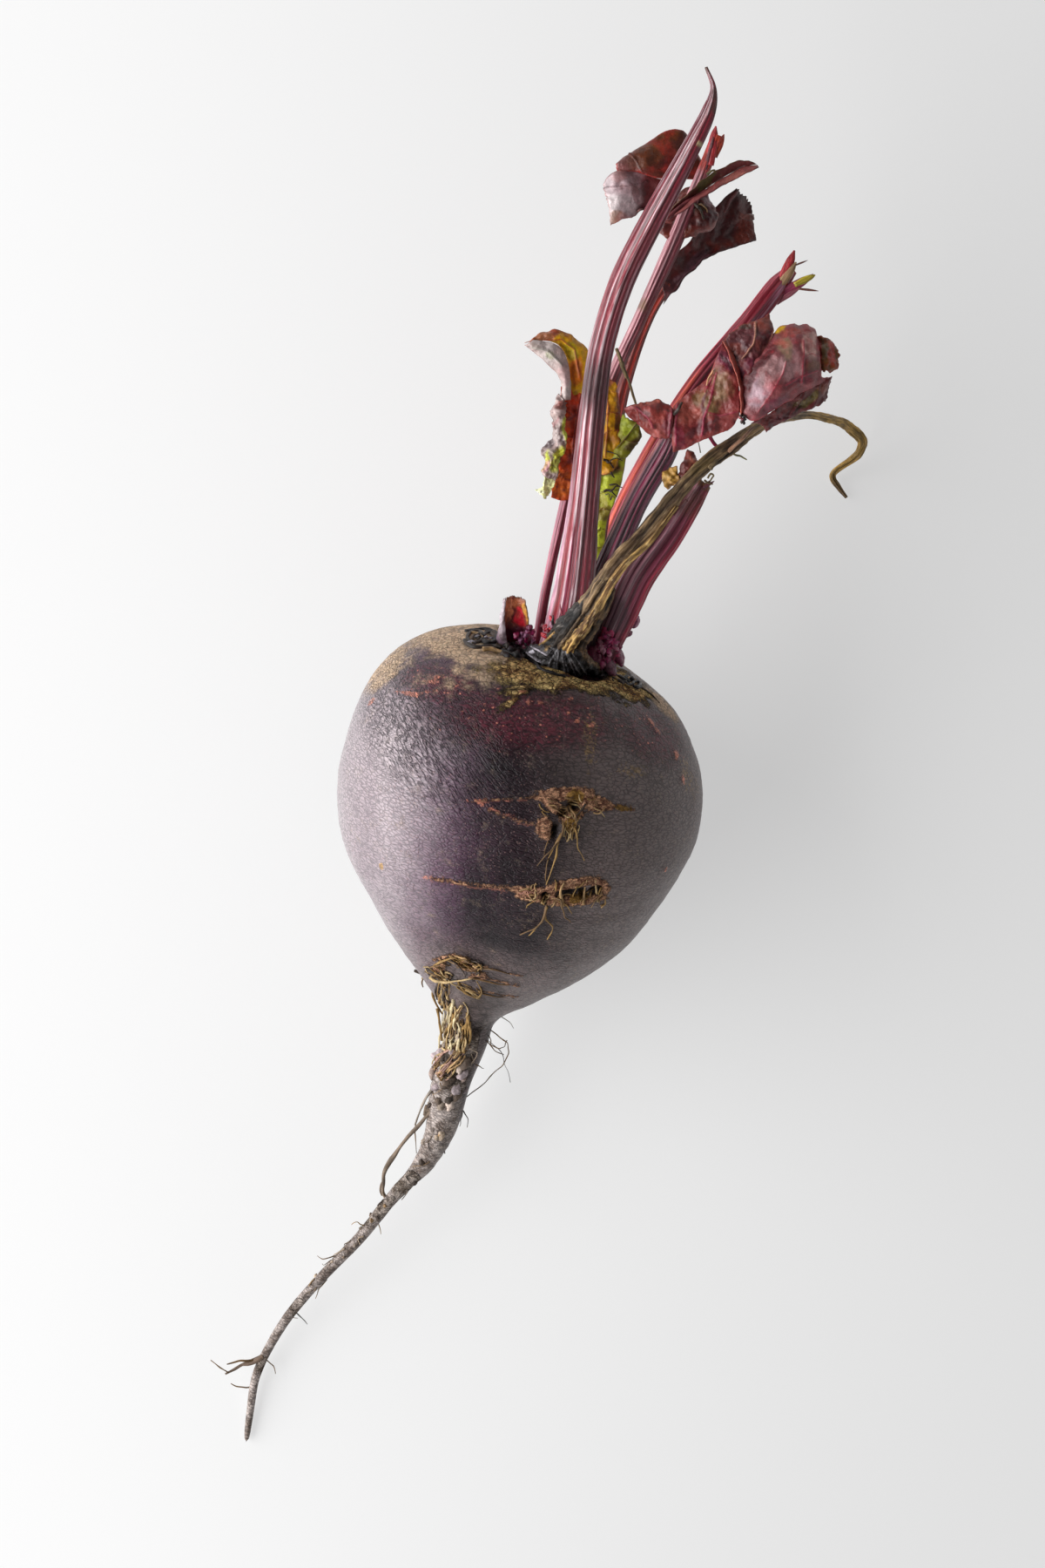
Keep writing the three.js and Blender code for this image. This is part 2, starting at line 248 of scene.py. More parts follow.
# Scars that rows of side roots left over the top of the globe, with corky lips and hollows.
SCAR_LINES = (
    (((-21, -19), (-10, -20.6), (0, -21.4)), 0.7),
    (((-8, -3), (-4, -4.6), (2, -6.2)), 0.5),
    (((14, -1), (20, -2.2), (25.5, -2.8)), 0.9),
    (((-12, -1), (-3, -0.4), (4, -0.2)), 0.4),
    (((-11, -39.6), (-6, -41), (0, -42.4)), 0.4),
    (((-10, -42.6), (-6, -43.6), (-1, -45)), 0.45),
    (((-9, -46.4), (-5, -47.4), (-1, -48)), 0.35),
    (((-21, -38.6), (-17, -37.4), (-13, -39)), 0.6),
)
UPPER_SCAR = (
    (10, 0.7, 6.6, 1.6, 2), (7, -2, 3.8, 1.3, -40), (15.8, -1.2, 4.2, 1.9, -12), (5.2, -7.2, 2.0, 2.7, 12),
    (11.5, -4.2, 3.2, 1.6, 20),
)
NECK_SCAR = ((-13.6, -39.6, 3.2, 1.3, -25), (-10.6, -42.6, 2.2, 1.0, 10), (-20, -41, 2.6, 1.2, 50))
LOWER_SCAR = (
    (3, -22.6, 5, 1.7, -3), (11, -20.3, 6.4, 1.3, 12), (12, -24, 7.5, 1.1, 4), (18, -20.6, 2.6, 1.6, -35),
)
SCAR_HOLLOWS = (
    (11.8, -2, 1.5, 1.5), (9.6, -3.6, 1.3, 1.0, 40), (7.6, -7.8, 0.8, 1.8, -8), (11, -22.2, 2.6, 0.8, 12),
    (5.3, -23.2, 0.9, 1.1), (17, -21.8, 1.9, 1.0, 30), (14, -22.4, 1.0, 1.2, 20),
    (-13, -40.2, 1.3, 0.7, -20), (-15.4, -38.8, 0.7, 0.6), (-11, -43.4, 0.8, 0.6),
)
GOLD_TISSUE = (
    (12, 0, 2.4, 2.2), (11, -6.4, 1.8, 2.2), (13, -23.4, 3.4, 1.1, 10), (23, -2.6, 3, 0.8, -6),
    (-33.4, -16.4, 0.7, 1.1, 20),
)
scar_lines = sum(near_line(x, y, line, width) * on_top for line, width in SCAR_LINES)
lips = ovals(x, y, UPPER_SCAR + LOWER_SCAR + NECK_SCAR) * on_top
hollows = ovals(x, y, SCAR_HOLLOWS) * on_top
scar = np.clip(1.4 * lips + 0.35 * rough * lips + 0.6 * scar_lines, 0, 1) * (1 - 0.75 * hollows)
gold = ovals(x, y, GOLD_TISSUE) * on_top

# The crown: a corky collar that crazes as the root swells, a tan film past it, and wine-red skin.
crown_far = np.linalg.norm(root_grid - np.array(ROOT_AXIS[0]), axis=-1)
COLLAR = ((9, 28.2, 15, 3.0, -4), (24, 26.5, 6, 2.2, -32), (-1, 24.8, 3.4, 1.2, 10), (-3, 22, 2.6, 0.8, 35))
FILM = ((-18, 36.8, 16, 4.8, 9), (-9, 31.2, 8.5, 3.5), (-33, 30, 7, 2.8, 48), (33, 22, 6, 1.2, -45))
EDGE_FILM = ((-42, 18, 12, 1.2, 76), (42.4, 6, 9, 1.4, 84))
WINE = ((2, 18, 26, 8, -3), (-20, 26.6, 12, 5.6, -14), (30, 15, 11, 7, -38))
SPECKS = (
    (-21, 27, 2.4, 0.8, -8), (-20, 28.2, 1, 0.7), (0, 24.4, 1.2, 0.5, 5), (1.4, 22.2, 0.9, 0.9),
    (4, 22, 0.8, 0.6), (11.2, 22.6, 0.7, 0.5), (10.6, 19.2, 0.7, 0.5, -30), (16, 16.4, 0.8, 0.8),
    (30.5, 17.6, 1.6, 0.6, -55), (32, 15.6, 1.4, 0.5, -50), (33.4, -17, 0.5, 0.8), (12.6, 17.4, 0.9, 0.6),
    (36.4, 9.8, 0.7, 1.4, 10), (38, 4, 0.6, 1.6, 5), (-36, 22.6, 1.6, 0.7, 50), (-26, 24, 2.2, 0.6, -15),
)
CORE_REACH, COLLAR_REACH, FILM_REACH, WINE_REACH = 10.5, 17, 24, 34  # from the crown, all round it
hidden = 1 - on_top
collar_ring = 1 - ramp(crown_far, COLLAR_REACH + 3 * uneven, COLLAR_REACH + 6 + 4 * uneven)
collar_ring = collar_ring * ramp(crown_far, 11, 14)
collar = 1.5 * ovals(x, y, COLLAR) * (1 + 0.4 * uneven) * on_top
collar = np.clip(collar + collar_ring * np.maximum(hidden, 0.35), 0, 1)
FILM_GAPS = ((-22, 32.6, 6.5, 3.4, -18), (-28, 29, 3.5, 1.6, 35), (-12, 30.2, 3.4, 1.3, -8))
upper_film = 1.2 * ovals(x, y, FILM) + 0.5 * ovals(x, y, ((-20, 30, 15, 5, -10),)) * (1 + rough)
upper_film = upper_film - 1.05 * ovals(x, y, FILM_GAPS) * (1 + 0.5 * rough)
upper_film = upper_film * ramp(facing_up, -0.35, 0.1) + ovals(x, y, EDGE_FILM) * ramp(facing_up, 0.12, 0.5)
film_ring = 1 - ramp(crown_far, FILM_REACH, FILM_REACH + 10 + 6 * uneven)
film = np.clip(upper_film + 0.6 * hidden * film_ring, 0, 1)
core = 1 - ramp(crown_far, CORE_REACH, CORE_REACH + 3 + 1.5 * uneven)
wine_ring = 1 - ramp(crown_far, WINE_REACH + 5 * uneven, WINE_REACH + 12 + 8 * uneven)
wine_ring = ramp(crown_far, 22, 30) * wine_ring
wine = np.clip(ovals(x, y, WINE) * on_top + 0.6 * wine_ring * hidden, 0, 1)
PINK_LINES = (
    (((-23, -18.8), (-14, -20.2), (-4, -21.8)), 0.9),
    (((-10, -1.4), (-4, -4.4), (2, -6.4)), 0.8),
    (((-13, -0.6), (-5, -0.8), (2, -0.6)), 0.5),
    (((-30, 25), (-24, 24.4), (-20, 25)), 0.5),
)
pink = sum(near_line(x, y, line, width) for line, width in PINK_LINES)
specks = (ovals(x, y, SPECKS) + 0.75 * pink) * on_top
streak = ovals(x, y, ((15.5, 13, 3, 12), (26, 6, 6, 3, -10), (39, 5, 2.4, 7, 8))) * on_top
# A greyer tone towards the neck, the skin's own, and a lighter grey on the flank that faces right, which is
# painted reflection.
slate_and_sheen = np.maximum(0.9 * ramp(back, 48, 84), ramp(facing_right, -0.15, 0.6)) * (1 - ramp(back, 114, 132))
# A violet tint that grows towards the window's side: the skin's own colour with a painted violet sheen.
purple_and_sheen = ramp(-x + 3 * uneven, 0, 30) * (1 - 0.7 * ramp(-y, 20, 42))
purple_and_sheen = purple_and_sheen * ramp(facing_up, -0.2, 0.3) * on_globe
# The flank that faces the window is painted lighter, a painted sheen of the window's light, eased off a
# little at the far left edge.
painted_sheen = ramp(-x + 0.2 * y - 0.65 * np.maximum(y - 12, 0) + 2 * uneven, 3, 45)
painted_sheen = painted_sheen * (1 - 0.24 * ramp(-x, 31, 37)) * ramp(facing_up, -0.7, -0.1) * on_globe
folded = ovals(x, y, ((-24, 17, 20, 11, -55),)) * on_top
tail = ramp(back - 30 * ramp(facing_right, 0.35, 0.95), 88, 104)
CRUSTS = (
    (-29.6, -96.4, 4, 2.6, 40), (-36, -103.4, 6, 1.4, 45), (-56.6, -127.6, 2.2, 4, 40), (-66, -142, 2, 2.4),
)
patchy = lumps(root_grid, 8, 71) + 0.5 * facing_right - 0.3
patchy = patchy + 0.9 * (1 - ramp(back, 104, 122)) + 1.6 * ovals(x, y, CRUSTS)
crusty = tail * ramp(patchy, 0.1, 0.6)
# Darker marks on the skin: a line under the front of the crown, and patches down the neck.
darker_marks = near_line(x, y, ((-5, 25), (3, 25)), 0.5) * on_top
NECK_DARK_PATCHES = (
    (-10.5, -53, 3.8, 9, 10), (-16.5, -65.4, 4.8, 3.2, 30), (-14.6, -71.5, 4, 4.6, 10),
    (-7.6, -46.5, 3.6, 7, 10),
)
darker_marks = darker_marks + (0.6 + 0.3 * rough) * ovals(x, y, NECK_DARK_PATCHES) * ramp(facing_up, -0.2, 0.1)

swell = 0.5 * crumbs(root_grid, 26, 2) * on_globe * ramp(crown_far, 8, 30)
spokes = np.stack([9 * np.cos(turn) + 0 * x, 9 * np.sin(turn) + 0 * x, 0.1 * back], -1)
furrows = 0.4 * lumps(spokes, 2.0, 7) * ramp(crown_far, 12, 18) * (1 - ramp(crown_far, 28, 44))
rings = 0.10 * lumps(np.stack([0.05 * x, back, 0.05 * z], -1), 2.6, 61) * on_globe
wrinkles = 0.07 * crumbs(root_grid * (1, 2.2, 1.3), 2.2, 9) * on_globe
crazing = collar * (0.25 - 0.35 * (1 - ramp(np.abs(crumbs(root_grid, 2.4, 21, 2)), 0.0, 0.16)))
seat = -2.0 * core + 0.6 * core * crumbs(root_grid, 3, 31)
knobs = crumbs(root_grid * (0.8, 1.2, 0.8), 4.6, 41, 4) * np.minimum(0.16 * radius, 0.55)
knobs = knobs * crusty * (1 - 0.6 * ramp(back, 112, 130))
twisted = np.stack([0 * x, back, 2 * np.cos(turn) + 0 * x], -1)
wrings = tail * np.minimum(0.06 * radius, 0.3) * lumps(twisted, 1.5, 51)
scarred = scar * (0.55 + 0.35 * rough) - 1.7 * hollows + 0.3 * specks + 0.25 * gold * (1 + rough)
lift = swell + furrows + rings + wrinkles + crazing + seat + knobs + wrings + scarred
REST_HEIGHT = 4.0  # below this the skin stays as smooth as the spot that the root rests on
root_grid = root_grid + outward * (lift * ramp(z, 0.0, REST_HEIGHT))[..., None]
root_grid[..., 2] = np.maximum(root_grid[..., 2], 0.0)

first_point = root_grid[0].mean(0) - unit(centre[1] - centre[0]) * 0.1
last_point = along_axis(np.array([axis_length[-1]]))[0][0]
ends = np.stack([first_point, last_point])
ends[:, 2] = np.maximum(ends[:, 2], 0.2)
root_points = np.vstack([root_grid.reshape(-1, 3), ends])
root_faces = [f[::-1] for f in ring_faces(len(ring_back), ROOT_SIDES)]
painted = {
    "scar": scar, "collar": collar, "film": film, "core": core, "wine": wine, "tail": tail,
    "specks": specks, "streak": streak, "slate_and_sheen": slate_and_sheen, "hollow": np.clip(hollows + darker_marks, 0, 1),
    "gold": gold, "purple_and_sheen": purple_and_sheen, "painted_sheen": painted_sheen, "folded": folded, "crusty": crusty,
}
root_values = {key: np.r_[a.ravel(), [a[0].mean(), a[-1].mean()]] for key, a in painted.items()}
skin = BVHTree.FromPolygons(root_points.tolist(), root_faces)


def on_skin(x, y, lift=0.0):
    """The place on the root's skin under a point seen from above, lifted off it, or None past its edge."""
    hit, *_ = skin.ray_cast(Vector((x, y, 200)), Vector((0, 0, -1)))
    return None if hit is None else tuple(hit + Vector((0, 0, lift)))


def round_skin(back, turn, lift=0.0):
    """The place on the root's skin at a distance behind the crown and an angle from its upper side."""
    middle, right, upper = along_axis(np.array([back]))
    out = right[0] * math.sin(turn) + upper[0] * math.cos(turn)
    hit, *_ = skin.ray_cast(Vector(middle[0] + out * 60), Vector(-out))
    place = Vector(middle[0]) if hit is None else hit
    return tuple(place + Vector(out) * lift)


def add_node(tree, kind, inputs=None, **settings):
    """A shader node of a kind, such as Math, with its settings, and its inputs linked or set."""
    node = tree.nodes.new("ShaderNode" + kind)
    for key, value in settings.items():
        setattr(node, key, value)
    for key, value in (inputs or {}).items():
        if isinstance(value, bpy.types.NodeSocket):
            tree.links.new(value, node.inputs[key])
        else:
            node.inputs[key].default_value = value
    return node


def colour(red, green, blue):
    """A colour for a shader from the usual 0 to 255 values."""
    return tuple(
        c / 12.92 if c <= 0.04045 else ((c + 0.055) / 1.055) ** 2.4
        for c in (red / 255, green / 255, blue / 255)
    ) + (1.0,)


def mix(tree, factor, a, b, blend="MIX"):
    """The first colour with the second over it, by the factor."""
    node = add_node(tree, "Mix", {0: factor, 6: a, 7: b}, data_type="RGBA", blend_type=blend)
    return node.outputs[2]


def maths(tree, operation, a, b=0.0):
    return add_node(tree, "Math", {0: a, 1: b}, operation=operation).outputs[0]


def times(tree, a, b):
    return maths(tree, "MULTIPLY", a, b)


def between(tree, value, low, high, to_low=0.0, to_high=1.0):
    """A value eased from one range to another."""
    limits = {"Value": value, "From Min": low, "From Max": high, "To Min": to_low, "To Max": to_high}
    return add_node(tree, "MapRange", limits, interpolation_type="SMOOTHSTEP").outputs[0]


def mask(tree, name):
    return add_node(tree, "Attribute", attribute_name=name).outputs["Fac"]


def noise(tree, where, scale, detail, roughness):
    inputs = {"Vector": where, "Scale": scale, "Detail": detail, "Roughness": roughness}
    return add_node(tree, "TexNoise", inputs).outputs[0]


def ragged(tree, value, grain, spread, low, high):
    """A painted mask with its edge broken up by a grain."""
    broken = maths(tree, "ADD", value, times(tree, maths(tree, "SUBTRACT", grain, 0.5), spread))
    return between(tree, broken, low, high)


def start_material(name, roughness, specular=0.5, coat=0.0, coat_roughness=0.3):
    material = bpy.data.materials.new(name)
    material.use_nodes = True
    tree = material.node_tree
    shader = tree.nodes["Principled BSDF"]
    shader.inputs["Roughness"].default_value = roughness
    shader.inputs["Specular IOR Level"].default_value = specular
    shader.inputs["Coat Weight"].default_value = coat
    shader.inputs["Coat Roughness"].default_value = coat_roughness
    return material, tree, shader


def bump(tree, shader, height, distance, strength=1.0, under=None):
    inputs = {"Height": height, "Distance": distance, "Strength": strength}
    if under is not None:
        inputs["Normal"] = under
    made = add_node(tree, "Bump", inputs).outputs[0]
    for name in ("Normal", "Coat Normal"):
        tree.links.new(made, shader.inputs[name])
    return made


def new_group(name, inputs, outputs):
    """An empty shader node group, with its input and output nodes."""
    group = bpy.data.node_groups.new(name, "ShaderNodeTree")
    for socket, kind in inputs:
        group.interface.new_socket(name=socket, in_out="INPUT", socket_type=kind)
    for socket in outputs:
        group.interface.new_socket(name=socket, in_out="OUTPUT", socket_type="NodeSocketFloat")
    return group, group.nodes.new("NodeGroupInput"), group.nodes.new("NodeGroupOutput")


# Leathery skin: fine creases that run round the root, long folds where it shrank, pores and patches.
# The scales of noise and cells are in cells to the metre, and the depths of relief are in metres.
GROWTH_TURN = (0.314, 0.0, -0.253)  # turns +Y to the growth axis
FOLD_TURN = (0.0, 0.0, -0.93)  # turns +X to the folds on the left shoulder
leather, g_in, g_out = new_group(
    "leather", (("Where", "NodeSocketVector"), ("Size", "NodeSocketFloat")),
    ("Creases", "Folds", "Pores", "Patches", "Grain"),
)
skin_where = g_in.outputs["Where"]


def stretched(tree, where, rotation, scale):
    inputs = {"Vector": where, "Rotation": rotation, "Scale": scale}
    return add_node(tree, "Mapping", inputs, vector_type="TEXTURE").outputs[0]


def cells(tree, where, scale, feature="F1"):
    node = add_node(tree, "TexVoronoi", {"Vector": where, "Scale": scale}, feature=feature)
    return node.outputs["Distance"]


round_root = stretched(leather, skin_where, GROWTH_TURN, (2.6, 1.0, 2.6))
WARP = (0.0018,) * 3  # how far the pattern wanders, in metres
warp = add_node(leather, "TexNoise", {"Vector": skin_where, "Scale": 220.0, "Detail": 3.0}).outputs[1]
warp = add_node(leather, "VectorMath", {0: warp, 1: WARP}, operation="MULTIPLY").outputs[0]
warped = add_node(leather, "VectorMath", {0: round_root, 1: warp}, operation="ADD").outputs[0]
crease_scale = times(leather, g_in.outputs["Size"], 1500.0)
grain = noise(leather, warped, times(leather, g_in.outputs["Size"], 1700.0), 4.0, 0.7)
creases = between(leather, cells(leather, warped, crease_scale, "DISTANCE_TO_EDGE"), 0.0, 0.2, 0.0, 0.5)
creases = maths(leather, "ADD", creases, grain)
folds = noise(leather, stretched(leather, skin_where, FOLD_TURN, (9.0, 1.0, 2.0)), 1100.0, 2.0, 0.5)
folds = between(leather, maths(leather, "ABSOLUTE", maths(leather, "SUBTRACT", folds, 0.5)), 0.0, 0.07)
for socket, value in (
    ("Creases", creases), ("Folds", folds), ("Grain", grain),
    ("Pores", between(leather, cells(leather, skin_where, 1300.0), 0.27, 0.14)),
    ("Patches", noise(leather, skin_where, 55.0, 6.0, 0.62)),
):
    leather.links.new(value, g_out.inputs[socket])

root_skin, tree, shader = start_material("root_skin", 0.5, 0.12, 1.0, 0.22)
where = add_node(tree, "TexCoord").outputs["Object"]
hide = add_node(tree, "Group", {"Where": where, "Size": 1.0}, node_tree=leather)
patches, fine = hide.outputs["Patches"], noise(tree, where, 900.0, 6.0, 0.75)
coarse = noise(tree, where, 260.0, 8.0, 0.75)
speckle = hide.outputs["Grain"]


def lay(tree, tone, name, grain, spread, low, high, amount, over, strays=True):
    """A tone with another colour over it where a painted mask is strong, its edge broken by a grain."""
    shown = ragged(tree, mask(tree, name), grain, spread, low, high)
    if not strays:  # no flecks where the mask is empty
        shown = times(tree, shown, between(tree, mask(tree, name), 0.0, 0.08))
    return mix(tree, times(tree, shown, amount), tone, over), shown


skin_tone = mix(tree, between(tree, patches, 0.34, 0.66), colour(24, 15, 21), colour(42, 29, 35))
for name, grain, *edge, tone in (
    ("slate_and_sheen", patches, 0.8, 0.1, 1.0, 0.85, (112, 100, 98)),
    ("purple_and_sheen", patches, 0.9, 0.0, 1.0, 0.85, (78, 42, 70)),
    ("painted_sheen", coarse, 0.35, 0.05, 1.0, 0.9, (164, 154, 157)),
    ("wine", coarse, 1.0, 0.0, 0.9, 0.75, (52, 21, 31)),
):
    skin_tone, _ = lay(tree, skin_tone, name, grain, *edge, colour(*tone))
skin_tone, wine_amount = lay(
    tree, skin_tone, "wine", speckle, 3.4, 0.4, 1.5, 0.5, colour(112, 44, 58), False,
)
# Light pink specks in the pores: partly their own colour, partly painted glints.
pores_and_glints = times(tree, hide.outputs["Pores"], between(tree, patches, 0.35, 0.65, 0.05, 0.5))
skin_tone = mix(tree, pores_and_glints, skin_tone, colour(150, 116, 112))
fleck = between(tree, cells(tree, where, 560.0), 0.2, 0.12)
skin_tone = mix(tree, times(tree, fleck, wine_amount), skin_tone, colour(206, 130, 108))
film_tone = mix(tree, between(tree, fine, 0.38, 0.62), colour(198, 170, 140), colour(228, 203, 170))
skin_tone, film_amount = lay(tree, skin_tone, "film", coarse, 2.4, 0.1, 1.15, 0.85, film_tone)
skin_tone, _ = lay(tree, skin_tone, "streak", fine, 2.6, 0.85, 1.2, 0.7, colour(142, 116, 76))
craze = cells(tree, where, 640.0, "DISTANCE_TO_EDGE")
collar_tone = mix(tree, between(tree, coarse, 0.36, 0.62), colour(184, 132, 84), colour(250, 220, 150))
collar_tone = mix(tree, between(tree, craze, 0.07, 0.015, 0.0, 0.85), collar_tone, colour(44, 28, 22))
skin_tone, collar_amount = lay(tree, skin_tone, "collar", coarse, 3.6, 0.15, 0.9, 1.0, collar_tone, False)
skin_tone, _ = lay(tree, skin_tone, "specks", fine, 2.6, 0.45, 1.0, 0.85, colour(208, 130, 106), False)
scar_tone = mix(tree, between(tree, fine, 0.42, 0.6), colour(112, 74, 58), colour(222, 172, 136))
skin_tone, scar_amount = lay(tree, skin_tone, "scar", fine, 1.6, 0.32, 0.65, 1.0, scar_tone, False)
skin_tone, _ = lay(tree, skin_tone, "gold", fine, 1.5, 0.45, 0.7, 0.85, colour(160, 122, 54))
tail_tone = mix(tree, between(tree, coarse, 0.42, 0.58), colour(104, 92, 80), colour(190, 178, 168))
tail_tone = mix(tree, between(tree, fine, 0.54, 0.66, 0.0, 0.7), tail_tone, colour(52, 42, 36))
bare_tone = mix(tree, between(tree, coarse, 0.4, 0.6), colour(104, 92, 84), colour(170, 160, 154))
crust = ragged(tree, mask(tree, "crusty"), coarse, 1.4, 0.25, 0.7)
skin_tone, _ = lay(
    tree, skin_tone, "tail", coarse, 1.6, 0.1, 0.9, 1.0, mix(tree, crust, bare_tone, tail_tone), False,
)
core_tone = mix(tree, between(tree, coarse, 0.42, 0.62), colour(20, 15, 14), colour(70, 30, 36))
skin_tone = mix(tree, mask(tree, "core"), skin_tone, core_tone)
# Near black in the scar hollows, painted shade there, and over the darker marks.
skin_tone = mix(tree, times(tree, mask(tree, "hollow"), 0.9), skin_tone, colour(22, 16, 14))
# Painted shade: darker along the fold lines, and the creases make the colour darker in their lines and
# lighter, a painted highlight, between them.
fold_lines = times(tree, mask(tree, "folded"), between(tree, hide.outputs["Folds"], 1.0, 0.0))
skin_tone = mix(tree, times(tree, fold_lines, 0.5), skin_tone, colour(56, 38, 54))
shade = between(tree, hide.outputs["Creases"], 0.35, 1.15, 0.0, 1.0)
shade = mix(tree, shade, (0.5, 0.48, 0.5, 1), (1.45, 1.4, 1.4, 1))
tree.links.new(mix(tree, 0.8, skin_tone, shade, "MULTIPLY"), shader.inputs["Base Color"])
dry = maths(tree, "MAXIMUM", maths(tree, "MAXIMUM", collar_amount, scar_amount), crust)
dry = maths(tree, "MAXIMUM", dry, times(tree, film_amount, 0.5))
tree.links.new(between(tree, dry, 0.0, 1.0, 0.46, 0.8), shader.inputs["Roughness"])
# The coat is stronger under the painted sheen.
sheen_coat = between(tree, mask(tree, "painted_sheen"), 0.0, 0.7, 0.3, 1.0)
tree.links.new(times(tree, between(tree, dry, 0.0, 0.6, 1.0, 0.0), sheen_coat), shader.inputs["Coat Weight"])
relief = None
for height, distance, strength in (
    (hide.outputs["Creases"], 0.0003, 0.7),
    (times(tree, mask(tree, "folded"), hide.outputs["Folds"]), 0.0009, 1.0),
    (hide.outputs["Pores"], 0.00015, 0.6), (times(tree, dry, fine), 0.0014, 1.0),
    (times(tree, collar_amount, between(tree, craze, 0.0, 0.14)), 0.0006, 0.9),
):
    relief = bump(tree, shader, height, distance, strength, relief)

make_piece("root", [(root_points, root_faces, root_values)], root_skin, "beet_root")


# ---- The fresh leaf stalks ----
# Fleshy petioles that grew from the crown, with ribs along them and crimson grooves between the ribs,
# under a waxy gloss. On the side that faces the window the ribs are whitish, a painted highlight, and the
# flanks away from it are painted shade. They were cut or torn off above, and flare where they leave the
# crown.
def swept(stations, sides=24, per_span=8, section=None, seed=0, wobble=0.0, blunt=0.05):
    """A closed tube through (x, y, z, half width, half depth) stations, and where each point is on it."""
    count = (len(stations) - 1) * per_span + 1
    at = np.linspace(0, 1, count)
    line = through([tuple(s) + (s[3],) if len(s) == 4 else tuple(s) for s in stations], at)
    middle, sizes = line[:, :3], np.maximum(line[:, 3:], blunt)
    along = unit(np.gradient(middle, axis=0))
    across = unit(np.cross(along, UP))
    upper = np.cross(across, along)
    run = np.r_[0, np.cumsum(np.linalg.norm(np.diff(middle, axis=0), axis=1))][:, None]
    turn = np.linspace(0, 2 * math.pi, sides, endpoint=False)[None]
    right, high = np.sin(turn), np.cos(turn)
    relief = np.zeros((count, sides)) if section is None else section(turn, run, at[:, None])
    if wobble:
        place = np.stack([right * 3 + 0 * run, high * 3 + 0 * run, run + 0 * right], -1)
        relief = relief + wobble * crumbs(place, 4.0, seed)
    reach = 1 + relief
    grid = middle[:, None] + across[:, None] * (right * sizes[:, :1] * reach)[..., None]
    grid = grid + upper[:, None] * (high * sizes[:, 1:2] * reach)[..., None]
    points = np.vstack([grid.reshape(-1, 3), middle[:1], middle[-1:]])
    grain = np.stack([right * sizes[:, :1], high * sizes[:, 1:2], run + 0 * right], -1).reshape(-1, 3)
    grain = np.vstack([grain, [[0, 0, 0], [0, 0, run[-1, 0]]]]) * MM
    full = lambda a, first, last: np.r_[np.broadcast_to(a, (count, sides)).ravel(), [first, last]]
    values = {
        "grain": grain, "rib": full(relief, 0, 0), "along": full(at[:, None], 0, 1),
        "across": full(right, 0, 0),
    }
    return points, ring_faces(count, sides), values


STALK_SIDES = 144
STALK_RINGS = 14  # from one station to the next


def ribbed(ribs, depth, seed, channel):
    """A petiole's cross-section: ribs all round, and a channel along its upper side."""
    rng = random.Random(seed)
    phases = [rng.uniform(0, 2 * math.pi) for _ in range(3)]

    def section(turn, run, at):
        drift = 0.25 * np.sin(run / 23 + phases[0])
        wave = np.cos(ribs * (turn + 0.12 * np.sin(2 * turn + phases[1])) + drift)
        second = 0.5 * np.cos((2 * ribs + 3) * turn + phases[2] + 0.4 * np.sin(run / 31))
        groove = np.exp(-(((turn + math.pi) % (2 * math.pi) - math.pi - 0.5) / 0.35) ** 2)
        return depth * (np.abs(wave) ** 0.7 * np.sign(wave) + 0.5 * second) - channel * groove

    return section


def tinted(tone, amount, other):
    """Colours for points, blended towards another colour by an amount at each point."""
    return tone + (np.array(colour(*other)) - tone) * np.clip(amount, 0, 1)[:, None]


def spotted(points, tone, spots, seed):
    """Colours under ragged spots of others: (x, y, half length, half width, any tilt, colour, amount)."""
    x = points[:, 0] + 0.8 * crumbs(points, 2.6, seed)
    y = points[:, 1] + 0.8 * crumbs(points, 2.6, seed + 9)
    for *oval, spot, amount in spots:
        tone = tinted(tone, amount * ramp(ovals(x, y, (oval,)), 0.1, 0.7), spot)
    return tone


def plain_tone(points, base):
    return np.tile(np.array(colour(*base)), (len(points), 1))


DARKEST = 0.002  # painted colours stay above this


def mottled(points, tone, size, amount, seed):
    """One colour that lightens and darkens in mottles."""
    shade = 1 + amount * crumbs(points, size, seed)[:, None] * np.array([1, 1, 1, 0])
    return np.clip(plain_tone(points, tone) * shade, DARKEST, 1)


def striped(values, tone, stripes, waver):
    """Colours with stripes along a stalk: (place across, half width, start, end, colour, amount)."""
    for place, half, start, end, stripe, amount in stripes:
        inside = 1 - ramp(np.abs(values["across"] + waver - place), 0.6 * half, 1.3 * half)
        reach = ramp(values["along"], start - 0.03, start + 0.02)
        reach = reach * ramp(values["along"], end + 0.03, end - 0.02)
        tone = tinted(tone, amount * inside * reach, stripe)
    return tone


